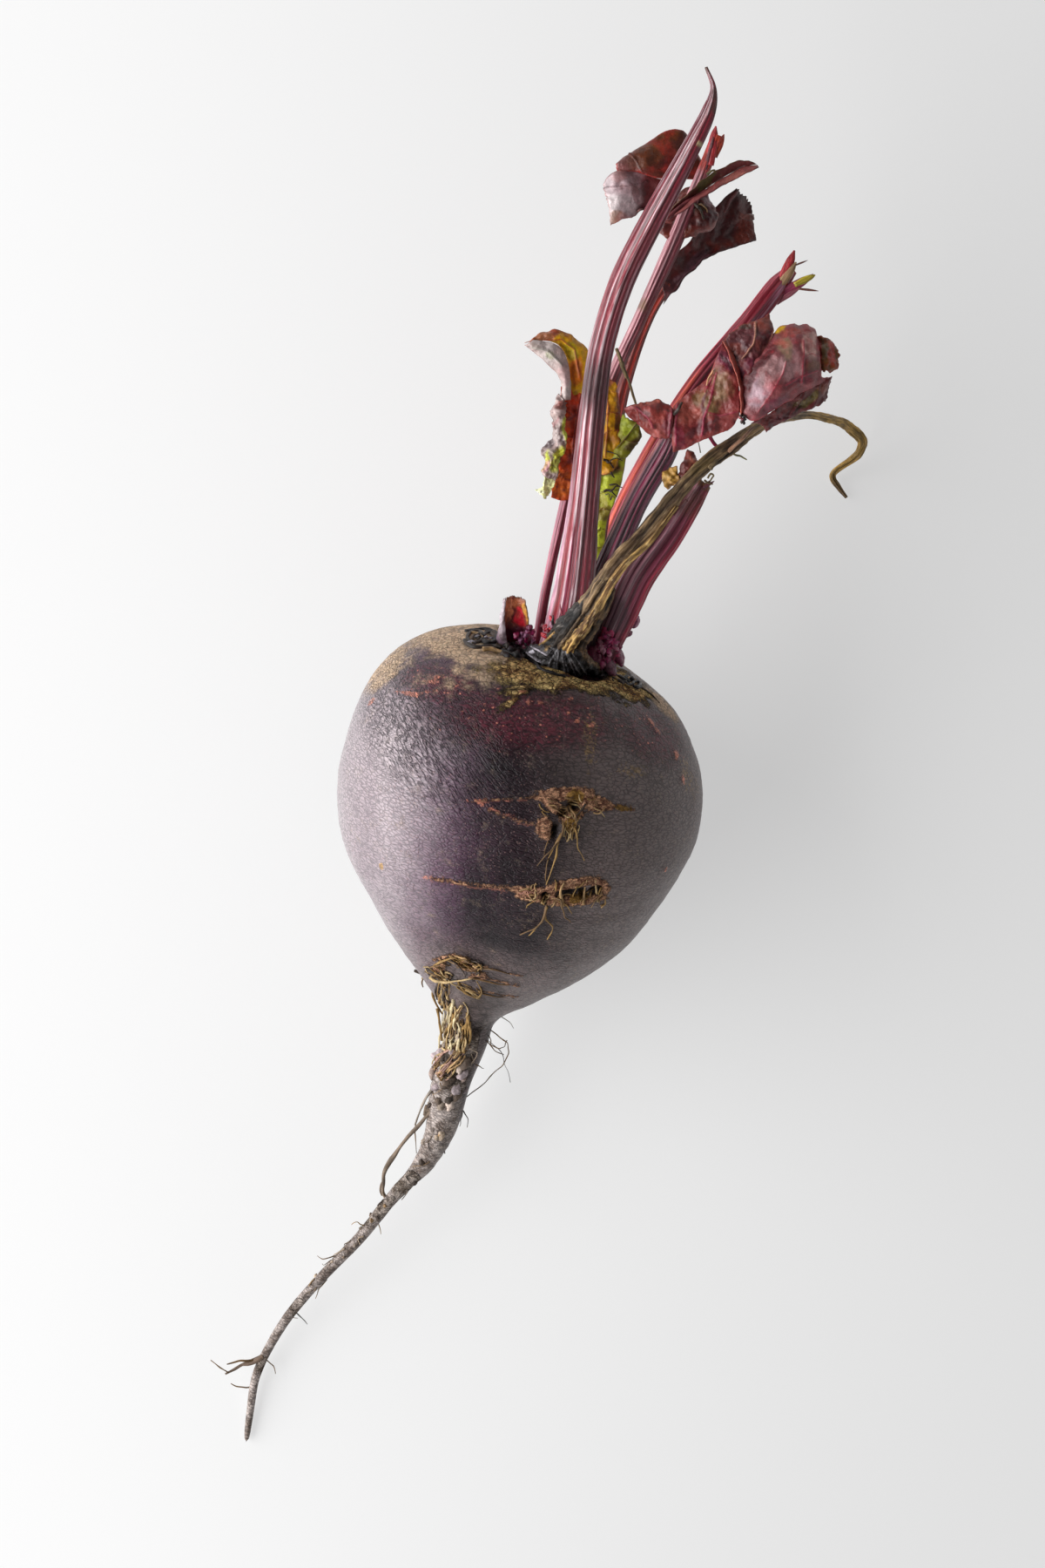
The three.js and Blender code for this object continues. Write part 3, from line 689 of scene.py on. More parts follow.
def stalk(stations, ribs, depth, ridge, groove, shaded_flank, tip, lit_band, stripes, spots, seed):
    """A stalk's colours: grooves, a dry tip, ridges in painted highlight and flanks in painted shade."""
    section = ribbed(ribs, depth, seed, 0.1)
    points, faces, values = swept(stations, STALK_SIDES, STALK_RINGS, section, seed, 0.02)
    grain = values["grain"] / MM
    lines = crumbs(grain * (2.0, 2.0, 0.03), 1.0, seed + 3)
    threads = crumbs(grain * (4.2, 4.2, 0.04), 1.0, seed + 8, 1)
    waver = 0.05 * lumps(grain * (0.0, 0.0, 0.12), 1.0, seed)
    crest = values["rib"] / max(depth, 0.01) + 1.1 * lines
    middle, half = (np.interp(values["along"], [b[0] for b in lit_band], [b[k] for b in lit_band]) for k in (1, 2))
    bright = 1 - ramp(np.abs(values["across"] + waver - middle), half - 0.05, half + 0.07)
    lit = tinted(plain_tone(points, groove), ramp(crest, -0.35, 0.35), ridge)
    shaded = tinted(plain_tone(points, shaded_flank), 0.45 * ramp(crest, 0.2, 0.8), ridge)
    shaded = tinted(shaded, 0.6 * ramp(crest, -0.1, -0.8), groove)
    tone = shaded + (lit - shaded) * bright[:, None]
    tone = striped(values, tone, stripes, waver)
    tone = tinted(tone, 0.65 * ramp(threads, 0.35, 0.6), groove)
    tone = spotted(points, tone, spots, seed)
    tone = tinted(tone, ramp(values["along"] + 0.02 * lines, 0.93, 0.99), tip)
    return points, faces, {"grain": values["grain"], "paint": np.clip(tone, DARKEST, 1)}


tissue, g_in, g_out = new_group(
    "tissue", (("Grain", "NodeSocketVector"), ("Scale", "NodeSocketFloat")), ("Streaks", "Fine"),
)
fine_scale = times(tissue, g_in.outputs["Scale"], 3.1)
tissue.links.new(
    noise(tissue, g_in.outputs["Grain"], g_in.outputs["Scale"], 5.0, 0.62), g_out.inputs["Streaks"],
)
tissue.links.new(noise(tissue, g_in.outputs["Grain"], fine_scale, 3.0, 0.6), g_out.inputs["Fine"])


def tissue_material(name, roughness, depth, stretch=1.0, scale=900.0, coat=0.0, dark=0.7, light=1.3,
                    specular=0.5, soft=0.18):
    """Painted plant tissue, with streaks or blotches in its colour and a fine relief.

    stretch is the grain's width over its length, scale its cells to the metre, and depth is in metres.
    The streaks multiply the colour by dark to light, and soft is half the noise's range between them.
    """
    material, tree, shader = start_material(name, roughness, specular, coat, 0.25)
    grain = add_node(tree, "Attribute", attribute_name="grain").outputs["Vector"]
    long = add_node(tree, "Mapping", {"Vector": grain, "Scale": (1, 1, stretch)}).outputs[0]
    made = add_node(tree, "Group", {"Grain": long, "Scale": scale}, node_tree=tissue)
    streaks, fine = made.outputs["Streaks"], made.outputs["Fine"]
    vary = mix(
        tree, between(tree, streaks, 0.5 - soft, 0.5 + soft), (dark,) * 3 + (1.0,), (light,) * 3 + (1.0,),
    )
    vary = mix(tree, between(tree, fine, 0.3, 0.7, 0.0, 0.5), vary, (dark,) * 3 + (1.0,))
    paint = add_node(tree, "Attribute", attribute_name="paint").outputs["Color"]
    tree.links.new(mix(tree, 1.0, paint, vary, "MULTIPLY"), shader.inputs["Base Color"])
    rough = between(tree, fine, 0.3, 0.7, max(roughness - 0.1, 0.15), min(roughness + 0.12, 0.95))
    tree.links.new(rough, shader.inputs["Roughness"])
    first = bump(tree, shader, streaks, depth, 0.7)
    bump(tree, shader, fine, depth * 0.3, 0.6, first)
    return material


# Stations from the crown to the tip: (x, y, z, half width, half depth).
STALKS = {
    "stalk_long": ((9, 33, 55, 5.6, 3.6), (12, 48, 66, 4.7, 3.2), (14.2, 68, 76, 3.5, 2.8),
        (16.3, 90, 82, 3, 2.5), (18.3, 104, 85, 2.8, 2.4), (23, 119, 88, 2.8, 2.4),
        (30.5, 134, 90, 2.7, 2.2), (37.8, 147.5, 90, 2.2, 1.6), (42.9, 158, 89, 1.6, 1.1),
        (44, 163.4, 88, 0.7, 0.6), (42.4, 168.4, 87, 0.35, 0.3)),
    "stalk_rear_pink": ((10, 35, 47, 1.8, 1.6), (16, 77, 60, 1.6, 1.4), (20.5, 96.5, 66, 1.6, 1.3),
        (27.5, 112, 72, 1.5, 1.2), (35.5, 129.5, 76, 1.8, 1.1), (41, 143, 78, 1.4, 1),
        (45.5, 154, 79, 1.4, 0.8)),
    "stalk_rear_red": ((14.5, 36, 44, 1.9, 1.7), (20.5, 78, 53, 1.9, 1.6), (23.5, 97, 58, 2, 1.6),
        (29.3, 113.5, 64, 1.8, 1.5), (34, 121.5, 67, 1.8, 1.4)),
    "stalk_yellow_leaf": ((3.5, 34, 51, 1.5, 1.4), (5, 46, 56, 1.2, 1.2), (8, 60.5, 61, 1.2, 1.1),
        (11, 74, 64, 1.2, 1)),
    "stalk_wrinkled_leaf": ((14, 34, 54, 3, 2.6), (18.5, 50, 62, 2.9, 2.4), (23, 61, 68, 2.7, 2.2),
        (27.5, 70.5, 71, 2.6, 2), (33, 80, 74, 2.7, 1.8), (35, 84, 76, 2.3, 1.5)),
    "stalk_torn": ((13.5, 37, 38, 1.7, 1.7), (20.5, 62, 41, 1.8, 1.7), (31, 83, 43, 2, 1.7),
        (43, 101, 42, 2.3, 1.7), (55, 115, 39, 2.5, 1.6), (62, 124, 37, 2.4, 1.4),
        (65.5, 128, 35.5, 1.4, 0.9)),
    "stalk_short": ((18.6, 31.5, 53, 3, 2.8), (20.4, 37, 55, 3.4, 3), (23.2, 43.4, 56.5, 3.9, 3.1),
        (27.5, 52.5, 58, 4, 3.1), (34.5, 62.5, 58, 3.8, 2.9), (39.5, 70.5, 57, 3.4, 2.4),
        (42.5, 75, 56, 2.6, 1.6)),
}
fresh_stalk = tissue_material(
    "fresh_stalk", roughness=0.36, depth=0.0005, stretch=0.03, scale=1700, coat=0.25, dark=0.62,
    soft=0.08,
)
torn_flesh = tissue_material(
    "torn_flesh", roughness=0.42, depth=0.0006, stretch=0.04, scale=1500, coat=0.2, dark=0.65, soft=0.09,
)

# The torn ends of the stalks, as splinters: root, tip, half width, colour.
RED_FLESH, OLD_ROSE = (176, 40, 48), (150, 52, 84)
PALE_FLESH, YELLOW_FLESH = (176, 140, 104), (196, 176, 52)
SPLINTERS = {
    "stalk_rear_pink": (((43.4, 147, 79), (45, 156, 79.5), 1.1, RED_FLESH),
        ((44.6, 149, 78.6), (46.9, 154.2, 79), 0.8, (196, 66, 40)),
        ((42.6, 146, 79), (44.4, 153.5, 80), 0.5, (104, 34, 46))),
    "stalk_torn": (((61.6, 121, 37), (66, 132.4, 38), 1.3, RED_FLESH),
        ((62.6, 124, 37.6), (66.4, 129.6, 38), 1, PALE_FLESH),
        ((65.6, 128.6, 37.8), (69.2, 130, 38.2), 0.22, (130, 84, 76)),
        ((62.8, 121.6, 37), (70.6, 126.6, 38), 1.25, OLD_ROSE),
        ((66, 124, 38), (71, 126.4, 38.4), 0.8, YELLOW_FLESH),
        ((61.6, 119.8, 37), (67.2, 123.2, 38), 0.7, (176, 96, 110)),
        ((67, 123.1, 38), (71.8, 122.5, 38.4), 0.28, (134, 76, 64))),
    "stalk_short": (((41.5, 72, 57), (44.8, 75.2, 58), 0.6, (128, 84, 50)),
        ((42.5, 73, 57.5), (45.6, 75, 58.6), 0.35, (140, 62, 82)),
        ((40.5, 72, 57), (42.6, 76.6, 57.5), 0.7, (140, 62, 82)),
        ((39, 72, 57.6), (40.6, 76.2, 58), 0.5, (128, 84, 50))),
}


def splinter(start, end, half, tone, seed=0):
    """A flat pointed sliver of torn fibre, with its colour."""
    a, b = np.array(start, float), np.array(end, float)
    stations = [
        tuple(a + (b - a) * t) + (half * w, half * 0.45 * w)
        for t, w in ((0, 0.9), (0.5, 1), (0.8, 0.7), (1, 0.15))
    ]
    points, faces, values = swept(stations, 10, 5, None, seed, 0.25)
    return points, faces, {"grain": values["grain"], "paint": mottled(points, tone, 1.5, 0.25, seed)}


# Each stalk's looks: how many ribs and how deep; the colours of ridges, grooves, flanks and tip, where the
# ridges' whitish colour is painted highlight and the flanks' is painted shade; its lit side, where that
# highlight falls, as (along, middle across, half width); stripes as (across, half width, start, end,
# colour, amount); spots; material and slot. Along runs from 0 at the crown to 1, and across from -1 to 1.
PLAIN_LIT_BAND = ((0, -0.35, 0.75), (1, -0.35, 0.75))
STALK_LOOKS = {
    "stalk_long": (15, 0.045, (228, 198, 204), (146, 40, 56), (108, 50, 62), (92, 70, 58),
        ((0, -0.3, 0.62), (0.12, -0.36, 0.6), (0.2, -0.36, 0.52), (0.27, -0.34, 0.42), (0.31, -0.2, 0.14),
         (0.37, -0.1, 0.14), (0.4, -0.1, 0.38), (0.55, -0.1, 0.52), (0.8, 0, 0.64), (1, 0, 0.7)),
        ((-0.93, 0.1, 0, 0.22, (226, 170, 190), 0.8), (-0.7, 0.13, 0, 0.2, (140, 22, 38), 0.95),
         (-0.42, 0.05, 0, 0.17, (190, 60, 110), 0.6), (-0.16, 0.03, 0.02, 0.2, (96, 80, 96), 0.8),
         # the dark stripe right across the stalk, a third of the way up, is painted shade
         (-0.1, 1.2, 0.31, 0.37, (66, 30, 36), 0.85), (-0.9, 0.14, 0.44, 0.62, (128, 24, 44), 0.85),
         (0.28, 0.05, 0.02, 0.9, (66, 20, 36), 0.75), (0.8, 0.1, 0.3, 0.9, (150, 88, 102), 0.6),
         (-0.45, 0.04, 0.5, 0.95, (150, 50, 64), 0.7), (0.1, 0.04, 0.45, 0.9, (140, 40, 60), 0.6),
         (-0.55, 0.03, 0, 0.28, (150, 40, 70), 0.8), (-0.3, 0.03, 0.04, 0.26, (140, 60, 84), 0.7),
         (0.02, 0.03, 0, 0.27, (150, 60, 90), 0.7), (0.5, 0.3, 0.22, 0.4, (84, 44, 48), 0.5),
         (-0.86, 0.1, 0.2, 0.3, (110, 26, 44), 0.8), (-0.25, 0.07, 0.5, 1, (238, 214, 216), 0.7)),
        ((8.6, 40, 4, 3.2, (120, 30, 54), 0.5), (40.5, 150.3, 0.6, 0.5, (214, 196, 150), 1),
         (44.5, 160, 1.2, 4, (84, 52, 44), 0.8)),
        fresh_stalk, "fresh_stalk"),
    "stalk_rear_pink": (8, 0.05, (206, 146, 154), (124, 48, 62), (130, 56, 64), (196, 66, 40), PLAIN_LIT_BAND,
        ((-0.75, 0.14, 0, 0.9, (206, 160, 166), 0.7), (0.1, 0.08, 0.1, 0.8, (84, 24, 34), 0.8)),
        ((44.2, 151, 3, 6, -15, (176, 44, 30), 1), (28, 115.5, 1.6, 1.2, (116, 84, 50), 0.8)), torn_flesh,
        "fresh_stalk"),
    "stalk_rear_red": (8, 0.05, (196, 72, 56), (128, 26, 24), (130, 36, 34), (120, 44, 36), PLAIN_LIT_BAND,
        ((-0.8, 0.1, 0, 0.9, (206, 120, 116), 0.6), (0, 0.2, 0.2, 0.9, (140, 34, 26), 0.7),
         (0.6, 0.24, 0.1, 0.9, (196, 52, 34), 0.8)),
        ((31, 117.5, 1.3, 4, -25, (190, 56, 34), 0.9),), fresh_stalk, "red_stalk"),
    "stalk_yellow_leaf": (6, 0.04, (200, 124, 142), (128, 28, 54), (140, 44, 70), (120, 60, 60), PLAIN_LIT_BAND,
        ((-0.6, 0.16, 0, 0.9, (210, 150, 166), 0.6),), (), fresh_stalk, "fresh_stalk"),
    "stalk_wrinkled_leaf": (12, 0.06, (142, 88, 104), (52, 10, 30), (70, 22, 42), (110, 40, 52),
        ((0, -0.2, 0.5), (1, -0.3, 0.6)),
        ((-0.3, 0.08, 0.25, 1, (178, 60, 100), 0.7), (0.3, 0.06, 0.2, 1, (150, 40, 76), 0.7),
         (-0.9, 0.1, 0.4, 1, (196, 110, 104), 0.6), (0.7, 0.1, 0.2, 1, (104, 40, 64), 0.6)),
        ((17, 46, 5, 7, -10, (44, 20, 26), 0.7),), fresh_stalk, "fresh_stalk"),
    "stalk_torn": (9, 0.05, (200, 84, 100), (124, 12, 40), (140, 30, 56), (190, 84, 90), PLAIN_LIT_BAND,
        ((-0.6, 0.3, 0.1, 0.5, (236, 106, 86), 0.95), (0.3, 0.12, 0.4, 0.6, (96, 10, 32), 0.7),
         (-0.25, 0.22, 0.66, 1, (132, 14, 34), 0.85), (0.45, 0.34, 0.66, 1, (176, 122, 144), 0.75),
         (-0.85, 0.12, 0.6, 1, (196, 96, 108), 0.7)),
        ((58, 119, 5, 2, 50, (142, 10, 40), 0.6),), torn_flesh, "red_stalk"),
    "stalk_short": (14, 0.055, (216, 160, 170), (140, 62, 82), (176, 68, 98), (128, 84, 50),
        ((0, -0.3, 0.6), (1, -0.3, 0.7)),
        # the wide light pink stripe on the left is painted light, where the dried stem's shadow falls
        ((-0.5, 0.5, 0.12, 0.95, (214, 146, 168), 0.45), (0.9, 0.13, 0.15, 1, (208, 74, 96), 0.85),
         (0.55, 0.06, 0.2, 1, (190, 90, 120), 0.8), (0.3, 0.06, 0.1, 1, (96, 28, 50), 0.7),
         (-0.05, 0.06, 0.25, 1, (176, 132, 146), 0.7), (-0.35, 0.05, 0.2, 0.9, (96, 30, 50), 0.6),
         (-0.7, 0.05, 0.2, 1, (226, 176, 186), 0.6), (0.7, 0.04, 0.2, 1, (120, 20, 44), 0.8)),
        ((19, 35, 5, 4.5, (122, 24, 60), 0.85), (22, 43, 3.2, 5, -20, (92, 74, 82), 0.6),
         (40, 70, 4, 4, -40, (120, 86, 60), 0.4)),
        fresh_stalk, "fresh_stalk"),
}
for seed, (name, looks) in enumerate(STALK_LOOKS.items()):
    *look, material, slot = looks
    parts = [stalk(STALKS[name], *look, seed + 3)]
    for k, (start, end, half, tone) in enumerate(SPLINTERS.get(name, ())):
        parts.append(splinter(start, end, half, tone, k))
    make_piece("fresh_" + name, parts, material, name)


# ---- The torn stub of a stalk ----
# A young stalk that broke off a finger's width above the crown. Its skin stands up as a lilac flap
# round the bright red flesh inside, whose orange right edge is painted light shining through it.
NET_COLS, NET_ROWS = 160, 120  # how finely a sheet's net is worked out before its points are placed
RIM = 2.8  # the rim of a sheet thins over this many points


def sheet(net, cols, rows, tone, under=None, spots=(), veins=(), vein_tone=None, rim_tone=None,
          thick=0.45, crinkle=0.5, size=7.0, torn=(0, 0, 0, 0), seed=0):
    """A thin closed sheet over a net of points, crinkled, with torn edges, raised veins and colours.

    torn says how deep the tears are at the first and last point of a row, and at the first and last row.
    """
    u, v = np.linspace(0, 1, cols), np.linspace(0, 1, rows)
    jag = lambda t, k: 0.5 + 0.5 * crumbs(np.stack([t * 14, 0 * t + k, 0 * t], -1), 1.0, seed + k, 4)
    left, right = torn[0] * jag(v, 1), torn[1] * jag(v, 2)
    low, high = torn[2] * jag(u, 3), torn[3] * jag(u, 4)
    lines = np.stack([through(row, np.linspace(0, 1, NET_COLS)) for row in net])
    fine = np.stack([through(lines[:, k], np.linspace(0, 1, NET_ROWS)) for k in range(NET_COLS)], 1)
    at_col = np.clip(left[:, None] + (1 - left - right)[:, None] * u[None], 0, 1) * (NET_COLS - 1)
    at_row = np.clip(low[None] + (1 - low - high)[None] * v[:, None], 0, 1) * (NET_ROWS - 1)
    col, row = np.minimum(at_col.astype(int), NET_COLS - 2), np.minimum(at_row.astype(int), NET_ROWS - 2)
    past_col, past_row = (at_col - col)[..., None], (at_row - row)[..., None]
    grid = (fine[row, col] * (1 - past_col) + fine[row, col + 1] * past_col) * (1 - past_row)
    grid = grid + (fine[row + 1, col] * (1 - past_col) + fine[row + 1, col + 1] * past_col) * past_row
    normal = grid_normals(grid, False)
    upward = np.where(normal[..., 2:].mean() < 0, -1.0, 1.0)
    vein = np.zeros(grid.shape[:2])
    for route, width in veins:
        vein = np.maximum(vein, near_line(grid[..., 0], grid[..., 1], route, width))
    lift = crinkle * crumbs(grid, size, seed, 3) * (1 - 0.6 * vein) + 0.4 * vein
    lift = lift + 0.14 * crinkle * crumbs(grid, size * 0.3, seed + 9, 3)
    grid = grid + normal * upward * lift[..., None]
    from_side, from_end = np.minimum(u, 1 - u)[None] * cols, np.minimum(v, 1 - v)[:, None] * rows
    rim = 1 - np.clip(np.minimum(from_side / RIM, from_end / RIM), 0, 1)
    half = normal * upward * (thick / 2 * (1 - 0.6 * rim))[..., None]
    count = rows * cols
    points = np.vstack([(grid + half).reshape(-1, 3), (grid - half).reshape(-1, 3)])
    i = np.arange(count).reshape(rows, cols)
    quads = np.stack([i[:-1, :-1], i[1:, :-1], i[1:, 1:], i[:-1, 1:]], -1).reshape(-1, 4)
    if upward < 0:
        quads = quads[:, ::-1]
    faces = [tuple(q) for q in quads] + [tuple(q[::-1] + count) for q in quads]
    edge = np.r_[i[0, :-1], i[:-1, -1], i[-1, :0:-1], i[:0:-1, 0]]
    walls = [(a, a + count, b + count, b) for a, b in zip(edge, np.roll(edge, -1))]
    faces += walls if upward < 0 else [w[::-1] for w in walls]
    both = lambda a: np.tile(a.ravel(), 2)
    below = np.r_[np.zeros(count), np.ones(count)]
    colours = spotted(points, tinted(plain_tone(points, tone), below, under or tone), spots, seed)
    colours = tinted(colours, 0.45 * ramp(crumbs(points, 3.2, seed + 2), 0.1, 0.7), rim_tone or tone)
    colours = tinted(colours, 0.8 * ramp(both(vein), 0.45, 0.9), vein_tone or tone)
    colours = tinted(colours, 0.8 * ramp(both(rim), 0.4, 1.0), rim_tone or tone)
    return points, faces, {"grain": points * MM, "paint": np.clip(colours, DARKEST, 1)}


CLOD_RINGS, CLOD_SIDES = 9, 14  # a crumb's points along it and round it


def clod(place, size, tone, tilt=0.0, seed=0, rough=0.3):
    """A lumpy closed crumb of tissue, with half sizes along it, across it and up."""
    polar = np.linspace(0.15, math.pi - 0.15, CLOD_RINGS)[:, None]
    turn = np.linspace(0, 2 * math.pi, CLOD_SIDES, endpoint=False)[None]
    ball = np.stack(
        [-np.cos(polar) + 0 * turn, -np.sin(polar) * np.sin(turn), np.sin(polar) * np.cos(turn)], -1,
    )
    ball = ball * (1 + rough * crumbs(ball, 0.7, seed))[..., None] * np.array(size)
    ball = np.vstack([ball.reshape(-1, 3), ball[0].mean(0, keepdims=True), ball[-1].mean(0, keepdims=True)])
    c, s = math.cos(math.radians(tilt)), math.sin(math.radians(tilt))
    ball = ball @ np.array([[c, s, 0], [-s, c, 0], [0, 0, 1]])
    points = ball + np.array(place)
    paint = mottled(points, tone, 1.3, 0.35, seed + 1)
    return points, ring_faces(CLOD_RINGS, CLOD_SIDES), {"grain": points * MM, "paint": paint}


stub_flesh = tissue_material("stub_flesh", roughness=0.36, depth=0.0005, coat=0.4)
STUB_RED = (222, 36, 56)
torn_stub = [
    sheet(  # the hollow of the torn stalk, its red flesh facing forwards
        (((-4.5, 37.4, 58), (-3.4, 37, 56.4), (-1.8, 36.8, 55.4), (0, 37.2, 55.8), (1.4, 38, 57.4)),
         ((-4.7, 42, 62), (-3.5, 42, 60.8), (-1.8, 42.2, 60), (0, 42.4, 60.2), (1.4, 42.6, 61.8)),
         ((-4, 46.6, 65.6), (-3.1, 47.3, 65.2), (-1.7, 47.4, 64.8), (-0.4, 47.2, 64.8), (0.6, 46.4, 65.4))),
        42, 42, (150, 60, 54), (196, 176, 184),
        ((-3, 44.2, 0.9, 3.8, (226, 140, 104), 0.95), (-2, 44.8, 0.3, 3.4, (110, 30, 34), 0.9),
         (-2.6, 40.6, 0.5, 2.4, 10, (170, 110, 96), 0.8), (-0.8, 42.8, 0.9, 2.2, STUB_RED, 1),
         # the orange strip at the right is painted light shining through the thin edge
         (-1.1, 46.2, 1.4, 1.4, (190, 106, 66), 0.9), (0.9, 44, 0.6, 3.4, 8, (230, 166, 74), 0.95),
         (-1.6, 39, 2.6, 1.8, (84, 26, 50), 0.9)),
        rim_tone=(120, 76, 56), thick=0.6, crinkle=0.25, size=1.8, torn=(0, 0, 0, 0.06), seed=4),
    sheet(  # the lilac skin folded back on its left
        (((-7, 34.8, 55), (-5.4, 34.2, 57.4), (-3.2, 34.4, 57.6)),
         ((-5.7, 39.4, 58.4), (-4.9, 39.2, 60.8), (-4, 39.6, 61)),
         ((-5, 43.4, 61.6), (-4.6, 43.6, 63.4), (-4.1, 43.8, 63.4)),
         ((-4.3, 46.8, 64.4), (-4.1, 47, 65.6), (-3.7, 47.1, 65.8))),
        20, 42, (196, 180, 188), (120, 70, 70),
        ((-5.6, 37, 0.9, 3, (132, 104, 128), 0.8), (-4.4, 36.4, 0.4, 3, (70, 50, 60), 0.7),
         (-4.1, 43.6, 0.25, 3, -8, (120, 84, 80), 0.8)),
        rim_tone=(104, 74, 76), thick=0.5, crinkle=0.3, size=1.6, torn=(0.05, 0, 0, 0.05), seed=6),
]
make_piece("torn_stub", torn_stub, stub_flesh, "stalk_stub")


# ---- The old leaf bases and the crown's soft tissue ----
# Leaves of the first weeks died back to black, curled husks round the crown's rim. Between the fresh
# stalks the crown stays soft, with crumbly magenta tissue where young shoots broke off.
def strand(points, half, tone, seed, kink, taper, sides=8):
    """A thin, slightly kinked fibre through points, narrowing to its far end."""
    rng = random.Random(seed)
    line = np.array(points, float)
    dense = through(line, np.linspace(0, 1, 2 * len(line) - 1))
    widths = half * np.linspace(1, taper, len(dense))
    stations = []
    for k, (place, width) in enumerate(zip(dense, widths)):
        shift = [rng.uniform(-kink, kink) if 0 < k < len(dense) - 1 else 0 for _ in range(3)]
        stations.append((*(place + shift), width * rng.uniform(0.8, 1.2), width * rng.uniform(0.8, 1.1)))
    points, faces, values = swept(stations, sides, 4, None, seed, 0.2)
    return points, faces, {"grain": values["grain"], "paint": mottled(points, tone, 2.2, 0.4, seed)}


def strands(first_seed, *rows):
    """Free strands, from rows of path, half width, colour, kink and taper, and sides where not 8."""
    return [
        strand(path, half, tone, seed, *rest)
        for seed, (path, half, tone, *rest) in enumerate(rows, first_seed)
    ]


def on_root(path, lift=0.3):
    """Points over the root's skin, for (x, y) or (x, y, extra height) places."""
    return [on_skin(p[0], p[1], lift + (p[2] if len(p) > 2 else 0)) for p in path]


def curl(x, y, reach, half, tone, start, sweep, seed):
    """A husk's curled rim: an open ring that stands on the skin."""
    angles = np.radians(start + np.linspace(0, sweep, 8))
    path = [
        (x + reach * 1.25 * math.cos(a), y + reach * math.sin(a), 0.5 * math.sin(k))
        for k, a in enumerate(angles)
    ]
    return strand(on_root(path, half * 0.8), half, tone, seed, 0.1, 0.8, 12)


def crowd(count, place, reach, sizes, tones, seed, height=0.0, surface=skin):
    """Crumbs of tissue scattered over an oval, each sunk a little into the surface below it."""
    rng = random.Random(seed)
    made = []
    for k in range(count):
        angle, far = rng.uniform(0, 2 * math.pi), math.sqrt(rng.random())
        x = place[0] + reach[0] * far * math.cos(angle)
        y = place[1] + reach[1] * far * math.sin(angle)
        half = rng.uniform(*sizes)
        hit, *_ = surface.ray_cast(Vector((x, y, 200)), Vector((0, 0, -1)))
        if hit is None:
            continue
        spot = (x, y, hit.z + height * (1 - far * far) + 0.1 * half)
        shape = (half * rng.uniform(0.8, 1.5), half * rng.uniform(0.6, 1.0), half * rng.uniform(0.6, 1.0))
        made.append(clod(spot, shape, rng.choice(tones), rng.uniform(0, 180), seed + k, 0.4))
    return made


BLACK, SOOT, SILVER = (28, 23, 24), (58, 47, 42), (148, 143, 154)
OCHRE, TAN, HUSK_BROWN = (156, 122, 66), (178, 142, 96), (84, 62, 40)
husk = tissue_material(
    "husk", roughness=0.45, depth=0.0007, stretch=0.5, coat=0.2, dark=0.45, light=1.5, specular=0.3,
    soft=0.1,
)
soft_tissue = tissue_material("soft_tissue", roughness=0.32, depth=0.0006, coat=0.5, dark=0.6, light=1.35)

left_husk = [
    curl(-11.2, 38, 1.5, 0.55, SOOT, 20, 325, 1), curl(-8, 37.8, 1.3, 0.6, BLACK, 200, 320, 2),
    curl(-11.2, 37.9, 0.7, 0.35, HUSK_BROWN, 90, 280, 3),
    strand(on_root(((-13.8, 37.2), (-12.6, 35.8), (-10, 35.4), (-7.5, 35.8), (-5, 35.2)), 0.5), 0.6, SOOT,
        4, 0.15, 0.7),
    strand(on_root(((-9.4, 34.8), (-7.2, 34.8), (-4.8, 34.2)), 0.4), 0.7, TAN, 5, 0.1, 0.6),
    strand(on_root(((-12.6, 39.2), (-10.4, 38.9), (-9.2, 37.4)), 0.9), 0.4, TAN, 9, 0.1, 0.5),
    strand(on_root(((-7, 38.8), (-5.4, 37.9), (-4.2, 36.4)), 0.8), 1.0, SOOT, 6, 0.15, 0.7, 12),
    strand(on_root(((-13.5, 39.4), (-10.5, 40.2), (-7.5, 39.6), (-5.4, 38.6)), 0.4), 0.6, BLACK, 7, 0.2,
        0.7, 10),
]
left_husk += crowd(16, (-9.5, 37.6), (3.8, 1.8), (0.35, 0.8), (BLACK, SOOT, SILVER, HUSK_BROWN), 8, 0.2)
make_piece("husk_left", left_husk, husk, "old_base_left")

front_low = (
    (0.6, 33.4, 58.4), (3, 30.6, 61.2), (6.6, 29.3, 62.7), (10.6, 28.8, 61.3), (14.6, 29, 57.4),
    (19.4, 29.9, 50),
)
front_mid = (
    (1.6, 34.6, 60), (4, 32.8, 64), (7.6, 32, 66), (11, 32, 66.2), (13.4, 31.8, 65), (15.4, 31, 62.4),
    (17.4, 30.7, 58.6), (19.6, 30.4, 53),
)
front_high = (
    (3, 36.2, 60.4), (5.4, 36, 64.4), (8.4, 36.4, 67), (11.4, 37.4, 67.8), (13.2, 37.4, 67),
    (14.8, 34.4, 64.6), (17, 32.3, 60.4), (19.6, 31.1, 55),
)
fan = [
    (((8.6 + 0.5 * k, 35.4 - 0.3 * k % 1.1), (7.6 + 1.3 * k, 32), (7.2 + 1.9 * k, 29.4 + 0.7 * k % 0.9)),
     0.1 + 0.07 * k % 0.12)
    for k in (-3.2, -2.7, -1.9, -1.6, -0.7, 0.1, 0.5, 1.5, 1.9, 2.7, 3.2, 4.1)
]
